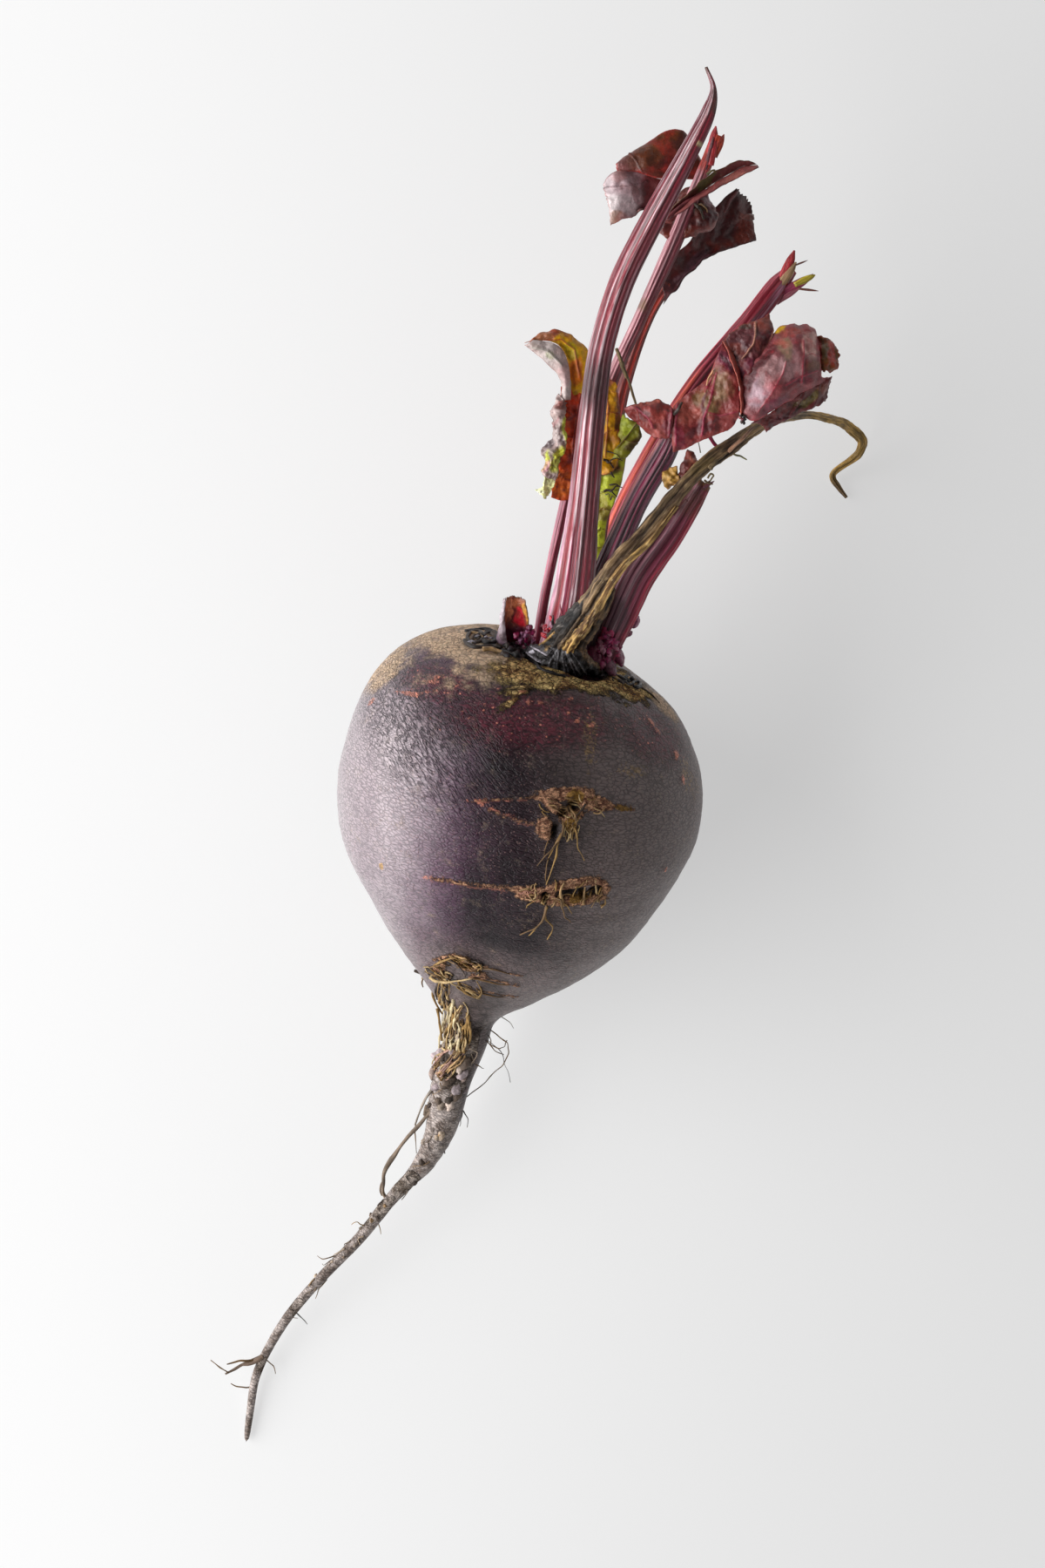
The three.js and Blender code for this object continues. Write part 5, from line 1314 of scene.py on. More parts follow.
DARK_VEIN, YELLOW, LIME = (92, 20, 30), (226, 170, 14), (206, 218, 60)
yellow_parts = [
    sheet(  # the upper lobe, from its tip over the stalk
        (((0.6, 105.8, 76), (2.4, 106.2, 76.6), (5.8, 106.3, 76.6), (8.8, 105, 75.6), (10.6, 101.4, 74.4),
          (10.4, 93.4, 72.6)),
         ((2.6, 107, 76.6), (5.4, 107.6, 77), (8.6, 107.2, 76.6), (11.4, 105.2, 75.4), (13, 101, 74),
          (12.4, 92.4, 72)),
         ((4.2, 108.2, 76), (8.2, 109, 76), (11.4, 107.9, 75), (14.9, 105.2, 73.6), (16.4, 101, 72.6),
          (15.4, 92.4, 71.4))),
        76, 42, YELLOW, (196, 176, 150),
        ((4.6, 107.6, 4.4, 1.4, 18, (148, 84, 66), 0.9), (9.4, 108.4, 3.4, 0.9, -12, (150, 60, 36), 0.7),
         (12.6, 100, 1.6, 4, (206, 102, 20), 0.9), (11.6, 104.4, 2, 2, (196, 178, 34), 0.7)),
        ((((5, 106.6), (9, 106.8), (12, 104.6), (13.4, 98)), 0.2),), (170, 60, 30), (176, 70, 40), 0.45,
        0.7, 3.6, (0.01, 0, 0, 0.02), 3),
    sheet(  # its pale underside, where the edge rolled over
        (((0.5, 105.5, 76.2), (2, 104.4, 75.4), (5.8, 101.2, 75.4), (9, 97, 74.6), (9, 92.4, 74)),
         ((1.6, 105.9, 77.2), (4, 105, 77.4), (7.4, 103, 77), (9.8, 98.4, 76), (10, 92.6, 75)),
         ((2.6, 106.3, 77), (6, 106.1, 77.2), (9, 104.6, 76.6), (10.9, 100, 75.4), (11.4, 92.8, 74.2))),
        62, 30, (196, 180, 176), (200, 190, 180),
        ((6.6, 103.4, 1.2, 1, (150, 150, 120), 0.8), (3, 105, 1.6, 0.8, -20, (170, 150, 140), 0.6),
         (10.2, 98.6, 1.2, 2.4, (206, 170, 170), 0.8)),
        ((((2.4, 105.2), (6, 104), (9, 101)), 0.25),), (168, 160, 150), (150, 110, 104), 0.4, 0.35, 2.4,
        (0, 0, 0.03, 0), 4),
    sheet(  # the red-orange middle
        (((8.8, 96, 73.4), (8.4, 91, 73), (8.6, 86, 72), (8.4, 81.6, 71), (7.4, 77, 70), (6.4, 70.6, 68.4)),
         ((10.8, 96.4, 73), (11, 91, 72.6), (11.4, 86, 71.6), (11.2, 82, 70.4), (10.4, 77, 69),
          (9, 69.8, 67.6)),
         ((14, 97, 71.6), (14.4, 91, 71.4), (14.4, 86, 70.4), (14, 81, 69), (13.4, 76, 67.6),
          (12, 70.2, 67))),
        76, 42, (222, 84, 26), (150, 60, 40),
        ((11.4, 92, 2.2, 2, (230, 66, 20), 0.9), (13, 86, 1.6, 6, (176, 40, 24), 0.7),
         (9.2, 73.6, 2.4, 3, (232, 120, 44), 0.9), (11.6, 79.4, 1.8, 1.6, (110, 30, 50), 0.8),
         (10.6, 88.6, 2.6, 0.5, 10, (120, 26, 26), 0.8), (10.6, 84.2, 2.6, 0.4, -10, (130, 30, 26), 0.8)),
        ((((13.6, 95), (12.6, 89), (11.8, 83), (11.6, 77)), 0.26),
         (((9.4, 91), (11.6, 89.4), (13.4, 90)), 0.16),
         (((8, 76.4), (10, 74.6), (12, 74.4)), 0.16),
         (((7.6, 73.2), (9.6, 72.2), (11.6, 72.8)), 0.14)),
        (110, 24, 34), (170, 60, 24), 0.45, 0.9, 2.8, (0, 0, 0.08, 0), 5),
    sheet(  # the lilac-white crumpled edge, lime at its rim
        (((8.6, 94.4, 74), (6.7, 90.6, 74), (6.2, 87, 74.6), (6.7, 84.3, 74), (4.9, 82, 73),
          (5.1, 79, 72.6), (4.2, 76.4, 72)),
         ((10, 92.4, 75.4), (8.6, 89.6, 75.8), (8.4, 86, 76), (8.4, 83, 75.4), (7.2, 80.6, 74.6),
          (6.6, 78, 73.8), (5.6, 75, 72.6)),
         ((10.6, 92, 74), (9.8, 88.6, 74.4), (10.4, 85, 74.6), (10.2, 82, 74), (9.6, 79.4, 73),
          (8.6, 76.4, 72.4), (7.6, 74, 71.4))),
        84, 42, (196, 172, 168), (196, 176, 170),
        ((9, 91.4, 1.8, 1, 30, (150, 84, 76), 0.9), (10.5, 85.2, 1.2, 4.2, LIME, 0.95),
         (5.4, 79, 0.8, 2.6, -20, (206, 214, 60), 0.95), (8.8, 79.4, 1.7, 3.8, -30, (214, 222, 60), 0.95),
         (6.2, 83, 1.3, 1.5, (112, 100, 104), 0.8), (7.4, 87.4, 1.2, 0.7, 20, (180, 120, 124), 0.8),
         (8.2, 84.4, 0.8, 1.6, (214, 200, 198), 0.7), (5.4, 77.6, 1.2, 1.6, (190, 120, 134), 0.7),
         (7.2, 80.8, 0.9, 0.8, (128, 116, 104), 0.7)),
        (), None, (120, 100, 92), 0.45, 1.1, 1.8, (0.0, 0.0, 0.12, 0.04), 6),
    sheet(  # the lime tail of the left edge
        (((4.8, 77, 72.4), (4.8, 74.6, 71.8), (4.2, 72.8, 71.4), (2.6, 72.2, 71)),
         ((8.6, 76, 71.8), (7.8, 73.6, 71.2), (6.6, 71, 70.6), (5.4, 69.6, 70.4))),
        28, 20, (250, 252, 170), (180, 180, 90),
        ((4, 71.6, 1, 0.8, (242, 246, 214), 0.8),), (), None, (240, 244, 190), 0.5, 0.8, 1.4,
        (0.0, 0.1, 0.15, 0.15), 8),
    sheet(  # the yellow part to the right of the long stalk
        (((18, 98.6, 71), (20, 98.5, 71), (22.2, 97.2, 70.4)),
         ((17.6, 93, 70), (20.4, 92.8, 70.6), (22.9, 92.4, 70)),
         ((17.4, 88, 69), (20.6, 88.2, 69.8), (23.3, 89, 69.4)),
         ((17, 82, 67), (20.4, 82, 68), (23, 83.4, 68)),
         ((17.2, 76, 66), (20.2, 76, 67), (22.6, 78, 66.8))),
        42, 76, (222, 158, 14), (190, 160, 60),
        ((20.4, 97.6, 2, 1.4, (206, 110, 90), 0.8), (19.6, 91, 1.8, 2.4, (200, 120, 20), 0.7),
         (22.8, 90, 0.8, 6, (136, 66, 54), 0.9), (19.6, 82, 2, 3, (196, 158, 40), 0.7)),
        ((((18.2, 94.4), (20.6, 95.4), (22.4, 94.6)), 0.16),
         (((18, 88.6), (20.4, 90.4), (22.6, 90)), 0.16),
         (((18, 84), (20, 86), (22.6, 86.2)), 0.16),
         (((19.4, 97), (20.2, 92), (20, 86), (19.6, 80)), 0.2)),
        (150, 44, 26), (156, 66, 40), 0.45, 0.7, 2.4, (0.02, 0.06, 0.01, 0), 9),
    sheet(  # the green flap with dark red veins
        (((23.6, 90.4, 69), (24.6, 89.2, 70), (26.4, 88.4, 70.4), (27.6, 87, 70)),
         ((22.8, 86, 68.4), (24.6, 86, 69.6), (26.6, 85.6, 70), (28.2, 84.4, 69.4)),
         ((21.6, 82, 67.4), (23.4, 82.4, 68.6), (25, 82.4, 69), (26.4, 82, 68.6)),
         ((20.4, 79, 66.6), (21.6, 79.4, 67.4), (23, 79.6, 67.8), (24.4, 80.2, 67.6))),
        42, 48, (158, 156, 40), (120, 110, 50),
        ((24.6, 87.6, 1.3, 2.4, (196, 210, 60), 0.95), (26, 83, 2.4, 1.4, 30, (92, 62, 40), 0.8),
         (27.6, 86, 0.8, 2, (80, 60, 40), 0.8)),
        ((((22.4, 82), (24.6, 84.6), (26.8, 87.6)), 0.22), (((24, 84), (25.8, 83.4), (27.4, 83.6)), 0.16)),
        DARK_VEIN, (74, 58, 40), 0.45, 0.5, 2.6, (0, 0.08, 0.04, 0.04), 10),
    sheet(  # the lime blade that narrows down to its stalk
        (((17.4, 79, 65.4), (20.4, 79.6, 66), (24.4, 80, 66)),
         ((17.4, 73.6, 64.6), (20.2, 73.8, 65.6), (23.6, 74, 65.2)),
         ((17, 69, 64), (19.6, 69.2, 65), (21.7, 69.3, 64.8)),
         ((16.6, 64.6, 63.6), (18.4, 64.8, 64.6), (20, 64.8, 64.4)),
         ((16.4, 60, 63), (17.8, 60.2, 64), (19.6, 60.4, 63.8)),
         ((16.4, 56, 62.6), (17.4, 55.6, 63.4), (18.9, 55.8, 63.2))),
        36, 92, LIME, (170, 170, 80),
        ((20, 77.4, 3.4, 2, 20, (96, 84, 44), 0.9), (19, 67, 2.6, 1.6, (116, 62, 44), 0.7)),
        ((((17, 75), (19.6, 76.4), (22.8, 77.6)), 0.2),
         (((17.4, 71), (20, 72.6), (22.6, 72.4)), 0.18),
         (((17, 66.6), (18.8, 68), (20.8, 67.6)), 0.18),
         (((17, 62), (18.4, 63.4), (19.8, 63)), 0.16),
         (((16.8, 58), (17.8, 59), (19, 58.8)), 0.14),
         (((16.9, 56), (17.3, 62), (17.8, 68), (18.6, 75)), 0.22)),
        DARK_VEIN, (132, 60, 44), 0.45, 0.35, 2.6, (0, 0.04, 0, 0), 11),
]
rng = random.Random(5)
for k in range(9):  # dry brown bits caught between the blade and the stalks
    start = np.array((rng.uniform(18.5, 21.5), rng.uniform(69, 82), rng.uniform(67, 69)))
    reach = np.array((rng.uniform(1.0, 3.4), rng.uniform(-2.4, 1.2), rng.uniform(0, 0.8)))
    bit = [start, start + reach * 0.5 + (0, 0.6, 0.3), start + reach]
    yellow_parts.append(strand(bit, rng.uniform(0.15, 0.4), (62, 48, 36), 60 + k, 0.25, 0.4))
make_piece("blade_yellow", yellow_parts, leaf_skin, "leaf_yellow")

red_parts = [
    sheet(  # the small lobe that curls off to the left
        (((23.4, 90.4, 79), (25.6, 91.2, 80.6), (28, 91.8, 81.4), (31.2, 92.3, 81.8), (34.8, 90.6, 82)),
         ((24.4, 89, 79.6), (27, 89.6, 81.6), (29.6, 89.4, 83), (32.4, 88.8, 83.6), (35, 88, 83.2)),
         ((25, 88.3, 79.4), (27.6, 87.6, 80.8), (29.4, 86.2, 82), (31.6, 85.4, 82.6), (34.6, 85.4, 82.4)),
         ((26.4, 88.4, 78.8), (28, 85.6, 79.4), (30.2, 83.3, 80.4), (32.4, 83.1, 81), (34.2, 83.4, 81))),
        62, 48, (136, 50, 46), UNDERSIDE,
        ((29, 91.4, 4, 0.7, 5, (176, 88, 70), 0.8), (28.6, 88.6, 2.6, 0.9, -35, (96, 30, 32), 0.85),
         (31.6, 88, 1.6, 2, 30, (158, 66, 58), 0.7), (33.4, 86, 1, 3, (104, 26, 44), 0.7),
         (31.4, 84.6, 1.6, 1.4, (164, 84, 78), 0.8), (24.4, 90, 1, 0.8, (206, 120, 120), 0.9)),
        ((((26.4, 90.4), (29, 88.4), (30.6, 85.6)), 0.25), (((34, 84), (34.2, 87), (34.6, 90)), 0.35)),
        (140, 30, 60), (110, 34, 36), 0.5, 0.7, 3, (0.02, 0, 0.04, 0.06), 3),
    sheet(  # the blade beside the stalk, up to the tall fold
        (((35, 90.8, 82), (38, 93.5, 82.4), (42.6, 97, 83), (44, 99.6, 83.6), (45.4, 103, 84),
          (46.3, 105.6, 83.4)),
         ((34.8, 88, 82.4), (38.4, 90, 82.6), (42, 92.2, 83.4), (45, 95, 84.2), (47, 98.6, 85),
          (48.6, 100, 85.4)),
         ((34.6, 85, 82), (38, 86, 82), (41.6, 87.4, 82.6), (45, 89.4, 83), (48, 92, 84), (50.1, 95, 85)),
         ((35, 80, 80), (38, 80.9, 80), (41.4, 82.6, 81), (45.6, 84.2, 81.6), (48.4, 85.4, 82),
          (50.4, 88.6, 83))),
        92, 70, (128, 46, 46), UNDERSIDE,
        ((38.2, 89.4, 3, 3, (164, 78, 64), 0.75), (40.6, 92.6, 2, 1.6, 30, (116, 92, 50), 0.7),
         (44, 90.6, 3, 2.2, 30, (122, 96, 60), 0.85), (46.8, 101.6, 1.4, 4, 20, (112, 36, 60), 0.85),
         (46.4, 95, 2.2, 3.4, 20, (136, 108, 78), 0.8), (44, 98, 2, 1, 40, (112, 92, 56), 0.8),
         (42.6, 85.4, 4.4, 1.3, 20, (84, 30, 36), 0.85), (46.8, 87, 3, 1, 20, (140, 66, 66), 0.6),
         (36.4, 83, 1.4, 3, (120, 30, 50), 0.8), (41.8, 89.2, 0.6, 4.4, -8, (84, 18, 34), 0.8),
         (47.6, 99.4, 0.6, 4, 25, (62, 26, 34), 0.8)),
        ((((41.6, 84), (42, 88), (43.6, 92), (45, 98)), 0.4),
         (((35.6, 82), (35.4, 86), (36, 91)), 0.4),
         (((44.4, 97.6), (43, 95), (42.4, 93.6)), 0.2),
         (((42.4, 89.4), (46, 88.4), (49.6, 89.4)), 0.22)),
        (150, 30, 62), (150, 60, 54), 0.5, 0.7, 3.6, (0, 0.01, 0.02, 0.015), 4),
    sheet(  # the tall fold: a narrow wall with a red ridge
        (((46.3, 105.6, 83.8), (47.6, 102.4, 85.4), (48.9, 99, 86.4), (50, 95.4, 86.6), (50.4, 91, 86),
          (50.5, 88.4, 84)),
         ((47.2, 106, 83), (48.6, 102.8, 84), (50, 99.4, 84.6), (51, 95.6, 84.6), (51.2, 91, 84.4),
          (51, 88.2, 83.4))),
        62, 12, (150, 60, 52), (120, 50, 50), (), (), None, (178, 84, 66), 0.5, 0.3, 3.0, (0, 0, 0, 0.03),
        5),
    sheet(  # the upper flap
        (((46.9, 106, 82.6), (48.6, 108, 82.8), (50.4, 109.4, 83), (53.6, 110.2, 83), (57.3, 112.4, 82.4)),
         ((48.6, 102.8, 83.4), (50.6, 104.4, 84.4), (52.6, 106, 84.8), (55.4, 107.4, 84.6),
          (58.2, 108.4, 83)),
         ((50, 99, 84), (51.4, 100.6, 85), (53, 102, 85.6), (55, 103.4, 85.2), (57.2, 105.4, 83.6)),
         ((50.9, 95.4, 84), (51.6, 96.6, 84.8), (52.4, 97.8, 85.2), (53.6, 99.2, 85), (55.2, 101, 84))),
        62, 56, (98, 46, 50), UNDERSIDE,
        ((51, 109.2, 1.8, 0.8, 10, (64, 50, 44), 0.9), (55.4, 109.4, 2.2, 2.6, 50, (132, 66, 56), 0.8),
         (50.4, 103, 2, 3, (78, 42, 48), 0.7), (51.4, 99.4, 2.6, 1.4, 50, (110, 34, 58), 0.7)),
        ((((54, 109.8), (53.9, 107), (53.4, 104.6), (51, 101.4)), 0.22),
         (((58, 108), (57, 105), (55, 101.4)), 0.22)),
        (216, 156, 128), (150, 66, 50), 0.5, 0.7, 3.2, (0.02, 0.02, 0.03, 0), 6),
    sheet(  # the wide smooth panel, bulging between its veins
        (((57.6, 107.6, 82.6), (61.4, 109.8, 82), (64.4, 109.8, 81.4), (67.6, 109.6, 80),
          (68.4, 106.4, 79.4)),
         ((54.2, 101.6, 84), (59.2, 104, 86), (63.4, 105, 86), (66.8, 104.6, 83.6), (68.8, 103, 81.6)),
         ((51.4, 97.2, 84.4), (57, 98.6, 87.2), (61.6, 99.4, 87.4), (66, 99.6, 85.4), (69.2, 99.8, 82.4)),
         ((50.1, 93.6, 84.2), (54.8, 93, 86.6), (60, 94.4, 87.4), (65, 96, 85.6), (69.9, 97.4, 82.6)),
         ((50.4, 89.2, 83), (53.4, 87.2, 83.6), (59.6, 90.3, 84.6), (64.4, 93.4, 84), (71.8, 97.4, 81.4))),
        98, 92, (136, 66, 70), UNDERSIDE,
        # the lavender and pinkish-white patches are painted highlights, and the dark narrow bands by the
        # fold are painted shade
        ((54.8, 93.6, 2.6, 3.8, -30, (182, 150, 160), 0.9), (57.4, 98, 2.2, 4.4, -30, (150, 112, 112), 0.8),
         (62, 99.6, 2.6, 4.4, (184, 140, 142), 0.75), (60.8, 103.6, 1.8, 3, 20, (140, 116, 84), 0.7),
         (66.4, 104.6, 1.6, 4, (214, 164, 154), 0.85), (55.6, 100.8, 5.2, 1.3, 45, (78, 26, 30), 0.95),
         (62.8, 107.6, 3.4, 1.3, 8, (150, 62, 52), 0.85), (52.6, 96.6, 0.9, 4, -32, (76, 28, 36), 0.85),
         (59.6, 109.2, 1.8, 1.3, 10, (216, 168, 14), 1), (64.4, 96.8, 4.6, 1, 32, (112, 40, 54), 0.8),
         (58.4, 90.6, 4, 1.2, 34, (108, 42, 60), 0.8), (67.4, 99.4, 2, 1.4, 30, (120, 80, 56), 0.7),
         (66.8, 109.2, 1.4, 1, (150, 52, 48), 0.8)),
        ((((60.8, 100.4), (60, 97.4), (57.4, 93.2), (54.6, 89.4)), 0.2),
         (((64.8, 105.4), (64.6, 100), (64.3, 95.8)), 0.24),
         (((60.8, 95), (64, 97), (68, 98.6)), 0.16),
         (((64.8, 101.6), (66.4, 102.4), (68.2, 102)), 0.14)),
        (176, 60, 76), (176, 40, 50), 0.5, 0.55, 4.4, (0.01, 0.03, 0.03, 0), 7),
    sheet(  # the flap below it, folded back under
        (((52.8, 86.6, 83), (55.2, 87.8, 83.6), (59.8, 90.5, 84.4), (64.6, 93.7, 83.8), (69, 96.4, 82.6),
          (71.9, 97.8, 81.2)),
         ((55.4, 86.2, 82), (58.4, 87.8, 82.4), (61.8, 89.6, 82.6), (65.8, 92, 82), (69.4, 94.4, 81.2),
          (71.8, 96.4, 80.2)),
         ((56.6, 84.3, 80.6), (59.4, 86.4, 80.8), (62.6, 88, 81), (66.2, 89.8, 80.4), (69.4, 91.2, 79.6),
          (71.2, 92.4, 79))),
        76, 36, (98, 40, 40), (96, 50, 46),
        ((66, 92.4, 4, 0.9, 34, (104, 92, 46), 0.8), (59.4, 87, 2.6, 1.2, 30, (84, 32, 40), 0.8),
         (70, 94.8, 1.2, 1.6, (140, 72, 56), 0.8), (62, 89, 4, 0.5, 34, (58, 22, 26), 0.8)),
        ((((62, 88.6), (64, 91), (65, 93.4)), 0.2), (((67, 90.4), (68.4, 93), (68.6, 95.6)), 0.2)),
        (84, 30, 38), (112, 44, 44), 0.5, 0.7, 2.8, (0.02, 0.03, 0, 0.08), 8),
    sheet(  # the curled end, its olive underside showing
        (((67.4, 107.4, 79.6), (67.6, 104, 81), (68, 101.4, 81.8), (68.2, 98.2, 82.2)),
         ((70.2, 106.8, 79.6), (70.8, 104, 81.2), (71, 101.4, 82), (70.8, 98.4, 82.2)),
         ((71, 106.4, 77.4), (73.4, 103.8, 78.6), (73.6, 101, 79.6), (72, 98, 80.4))),
        36, 28, (110, 66, 24), (120, 80, 50),
        ((70, 103.8, 0.8, 2.2, (96, 66, 24), 0.8), (68.6, 102.6, 0.9, 4, (160, 40, 40), 0.95),
         (71.8, 103, 0.9, 3.4, (176, 56, 44), 0.9)),
        (), None, (168, 52, 44), 0.5, 0.6, 1.8, (0, 0.08, 0, 0.1), 9),
    strand([(35, 88.6, 83.2), (36.2, 90, 83.8), (37, 91.4, 83.6)], 0.5, (70, 56, 50), 12, 0.12, 0.5),
    strand([(44.2, 98.8, 84.2), (43.2, 97, 84.2), (42.6, 95.2, 84)], 0.3, (206, 150, 110), 13, 0.12, 0.5),
]
red_parts += [
    clod((50.9 + 0.5 * math.cos(k * 2.4), 87.4 + 0.8 * math.sin(k * 1.7), 84.2), (0.5, 0.4, 0.5), tone,
         40 * k, 20 + k, 0.3)
    for k, tone in enumerate(
        ((34, 24, 24), (50, 34, 30), (150, 70, 84), (40, 28, 26), (176, 110, 110), (44, 30, 26),
         (60, 40, 34)))
]
make_piece("blade_red", red_parts, leaf_skin, "leaf_wrinkled")

# Scraps of withered blade that still hang on the short stalk and the dried stem.
scraps = [
    sheet((((35.6, 73.4, 76.8), (36.8, 77, 76), (38.4, 81.2, 74.6)),
           ((38.4, 74.4, 77), (39.2, 77.4, 77), (39.6, 80.4, 75)),
           ((40.6, 76.8, 76.4), (41.4, 78, 75.6), (40.8, 79.6, 74.6))),
        24, 24, (140, 66, 54), (120, 70, 50),
        ((37.6, 76, 1.2, 2.4, (96, 40, 40), 0.8), (39.6, 78.6, 1, 1, (176, 110, 90), 0.7)), (), None,
        (120, 50, 44), 0.4, 0.6, 1.8, (0, 0, 0.05, 0.1), 3),
    sheet((((32.4, 75.8, 76), (34, 76.8, 76.6), (36, 77, 76.4)),
           ((32.6, 73.4, 76.4), (34.4, 73.8, 77.4), (36.4, 75, 77)),
           ((34, 71.6, 76), (35.6, 72.4, 76.6), (37, 73.6, 76.4))),
        20, 20, (192, 146, 66), (170, 130, 60),
        ((33.4, 74, 1, 1, (206, 170, 110), 0.8),), (), None, (130, 80, 40), 0.4, 0.9, 1.5,
        (0.04, 0, 0.05, 0.1), 4),
    sheet((((36, 66.6, 61.4), (37.6, 68.4, 61.8), (39.4, 70, 61.6)),
           ((34.8, 67.2, 61.8), (36.4, 69.2, 62.2), (38.6, 70.6, 62))),
        18, 12, (118, 60, 60), (110, 60, 50), (), (), None, (90, 44, 44), 0.4, 0.5, 1.8, (0, 0, 0.05, 0.2),
        6),
]
scraps += strands(
    5,
    ([(42.6, 86.4, 79), (43.6, 84.2, 77), (45, 82.4, 75), (46.8, 80.6, 74)], 0.5, (150, 30, 70), 0.1, 0.7),
    ([(48.4, 81.8, 73.4), (49.6, 80.2, 72.6), (51, 79.8, 72.2), (52.6, 79, 71.8)], 0.3, (130, 126, 84), 0.1,
     0.5),
    ([(40.6, 84.4, 74), (41.2, 82.6, 74.6), (41.6, 80.4, 75)], 0.15, (120, 110, 80), 0.1, 0.8),
    ([(44, 75.6, 59), (44.8, 76.6, 59.4), (45.4, 76.2, 59.4), (44.6, 75, 59)], 0.3, (148, 132, 96), 0.1,
     0.6),
    ([(43.2, 75.2, 59), (44.2, 74.4, 59.2), (45.2, 74.2, 58.8)], 0.3, (120, 100, 66), 0.1, 0.6),
)
make_piece("blade_scraps", scraps, leaf_skin, None)


# ---- The rootlets ----
# Fine side roots grow in rows from the scars, the neck and the tap root. They dried to kinked, tan
# wires and to matted, papery fibre when the root was lifted.
root_fibre = tissue_material("root_fibre", roughness=0.7, depth=0.0004, stretch=0.2, dark=0.6, light=1.35)
GOLD, PALE_GOLD, WIRE, DARK_WIRE = (150, 116, 62), (188, 160, 112), (118, 88, 52), (62, 46, 34)


def rootlets(*rows):
    """Rootlets along the root's skin, from rows of path, half width, colour and height over the skin."""
    made = []
    for seed, (path, half, tone, lift) in enumerate(rows, 1):
        last = len(path) - 1
        heights = [lift * (0.2 + math.sin(math.pi * min(0.9, k / last))) for k in range(last + 1)]
        spots = [on_skin(x, y, height) for (x, y), height in zip(path, heights)]
        made.append(strand(spots, half, tone, seed, 0.2, 0.4, 7))
    return made


def fibres(count, corner, reach, heading, length, halves, tones, seed, lift):
    """Short fibres over an area of skin, near one heading in degrees."""
    rng = random.Random(seed)
    made = []
    for k in range(count):
        x, y = corner[0] + rng.random() * reach[0], corner[1] + rng.random() * reach[1]
        angle = math.radians(heading + rng.gauss(0, 22))
        long = rng.uniform(*length)
        dx, dy = long * math.cos(angle), long * math.sin(angle)
        bend = rng.uniform(-0.35, 0.35)
        path = [(x - dx / 2, y - dy / 2), (x - bend * dy, y + bend * dx), (x + dx / 2, y + dy / 2)]
        half = rng.uniform(*halves)
        height = rng.uniform(0.3, 1.0) * lift
        spots = [on_skin(px, py, h) for (px, py), h in zip(path, (0, height, 0.1))]
        if None not in spots and max(s[2] for s in spots) - min(s[2] for s in spots) < 0.9 * long:
            made.append(strand(spots, half, rng.choice(tones), seed + k, 0.1, 0.5, 6))
    return made


upper_rootlets = rootlets(
    (((9.5, -3.5), (9.2, -8), (7.5, -11), (5.4, -13.6), (3.4, -16)), 0.3, WIRE, 0.9),
    (((9, -8.4), (7.4, -11.6), (6, -14.2)), 0.22, GOLD, 0.7),
    (((8.4, -10), (7.7, -13.4), (6.6, -17), (5.5, -20.4)), 0.3, GOLD, 1.1),
    (((6, -14.4), (5.4, -17), (5.6, -20)), 0.18, WIRE, 0.6),
    (((11.6, -6.6), (12.6, -9), (12.9, -11.6), (14.4, -14.8)), 0.22, GOLD, 0.9),
    (((10.6, -2), (12, -4), (12.6, -6.4)), 0.3, WIRE, 0.8),
    (((14.6, -1.6), (13, -3.6), (11.6, -6.4)), 0.26, DARK_WIRE, 0.7),
    (((7, -8), (5.6, -11.4), (5, -13.8)), 0.2, WIRE, 0.6),
)
upper_rootlets += fibres(
    22, (5, -4.4), (13, 4.4), -20, (1.6, 3.4), (0.12, 0.26), (GOLD, TAN, WIRE, PALE_GOLD), 10, 0.6,
)
upper_rootlets += fibres(
    20, (8.5, -9), (4.4, 5), 80, (1.4, 3.2), (0.1, 0.22), (GOLD, PALE_GOLD, WIRE), 40, 0.8,
)
make_piece("upper_scar_rootlets", upper_rootlets, root_fibre, "upper_scar_rootlet")

lower_rootlets = rootlets(
    (((5.6, -23.4), (5.2, -27), (3.8, -30), (1.6, -31.4), (-0.6, -32.4)), 0.34, WIRE, 0.9),
    (((3.4, -30.4), (2.4, -31.8), (1.4, -32.6)), 0.2, GOLD, 0.5),
    (((5.8, -25.6), (5.2, -28.4), (6.8, -30.2), (6.8, -32), (5.8, -33.6)), 0.3, GOLD, 0.9),
    (((5.4, -22.6), (8.8, -24.2), (9.4, -26.6), (10, -28.4), (11.3, -29.4)), 0.28, WIRE, 0.9),
    (((8.4, -24.4), (10.4, -25.6), (11.6, -27.4)), 0.18, GOLD, 0.7),
    (((9.6, -25.4), (8.8, -21.6), (9.8, -19.8)), 0.4, TAN, 0.6),
    (((14.2, -25.2), (14.4, -22.4), (15, -19.4)), 0.42, TAN, 0.6),
    (((17.6, -24.6), (17.4, -22), (17, -19.4)), 0.36, PALE_GOLD, 0.6),
    (((11.8, -25.6), (12, -22.8), (12.8, -20.4)), 0.26, GOLD, 0.5),
)
lower_rootlets += fibres(
    30, (1, -25.4), (19, 5), 60, (1.4, 3.0), (0.12, 0.26), (TAN, GOLD, PALE_GOLD, WIRE), 20, 0.5,
)
lower_rootlets += fibres(12, (0, -24), (8, 2.4), 5, (2, 4), (0.14, 0.26), (TAN, (176, 120, 100)), 60, 0.3)
make_piece("lower_scar_rootlets", lower_rootlets, root_fibre, "lower_scar_rootlet")

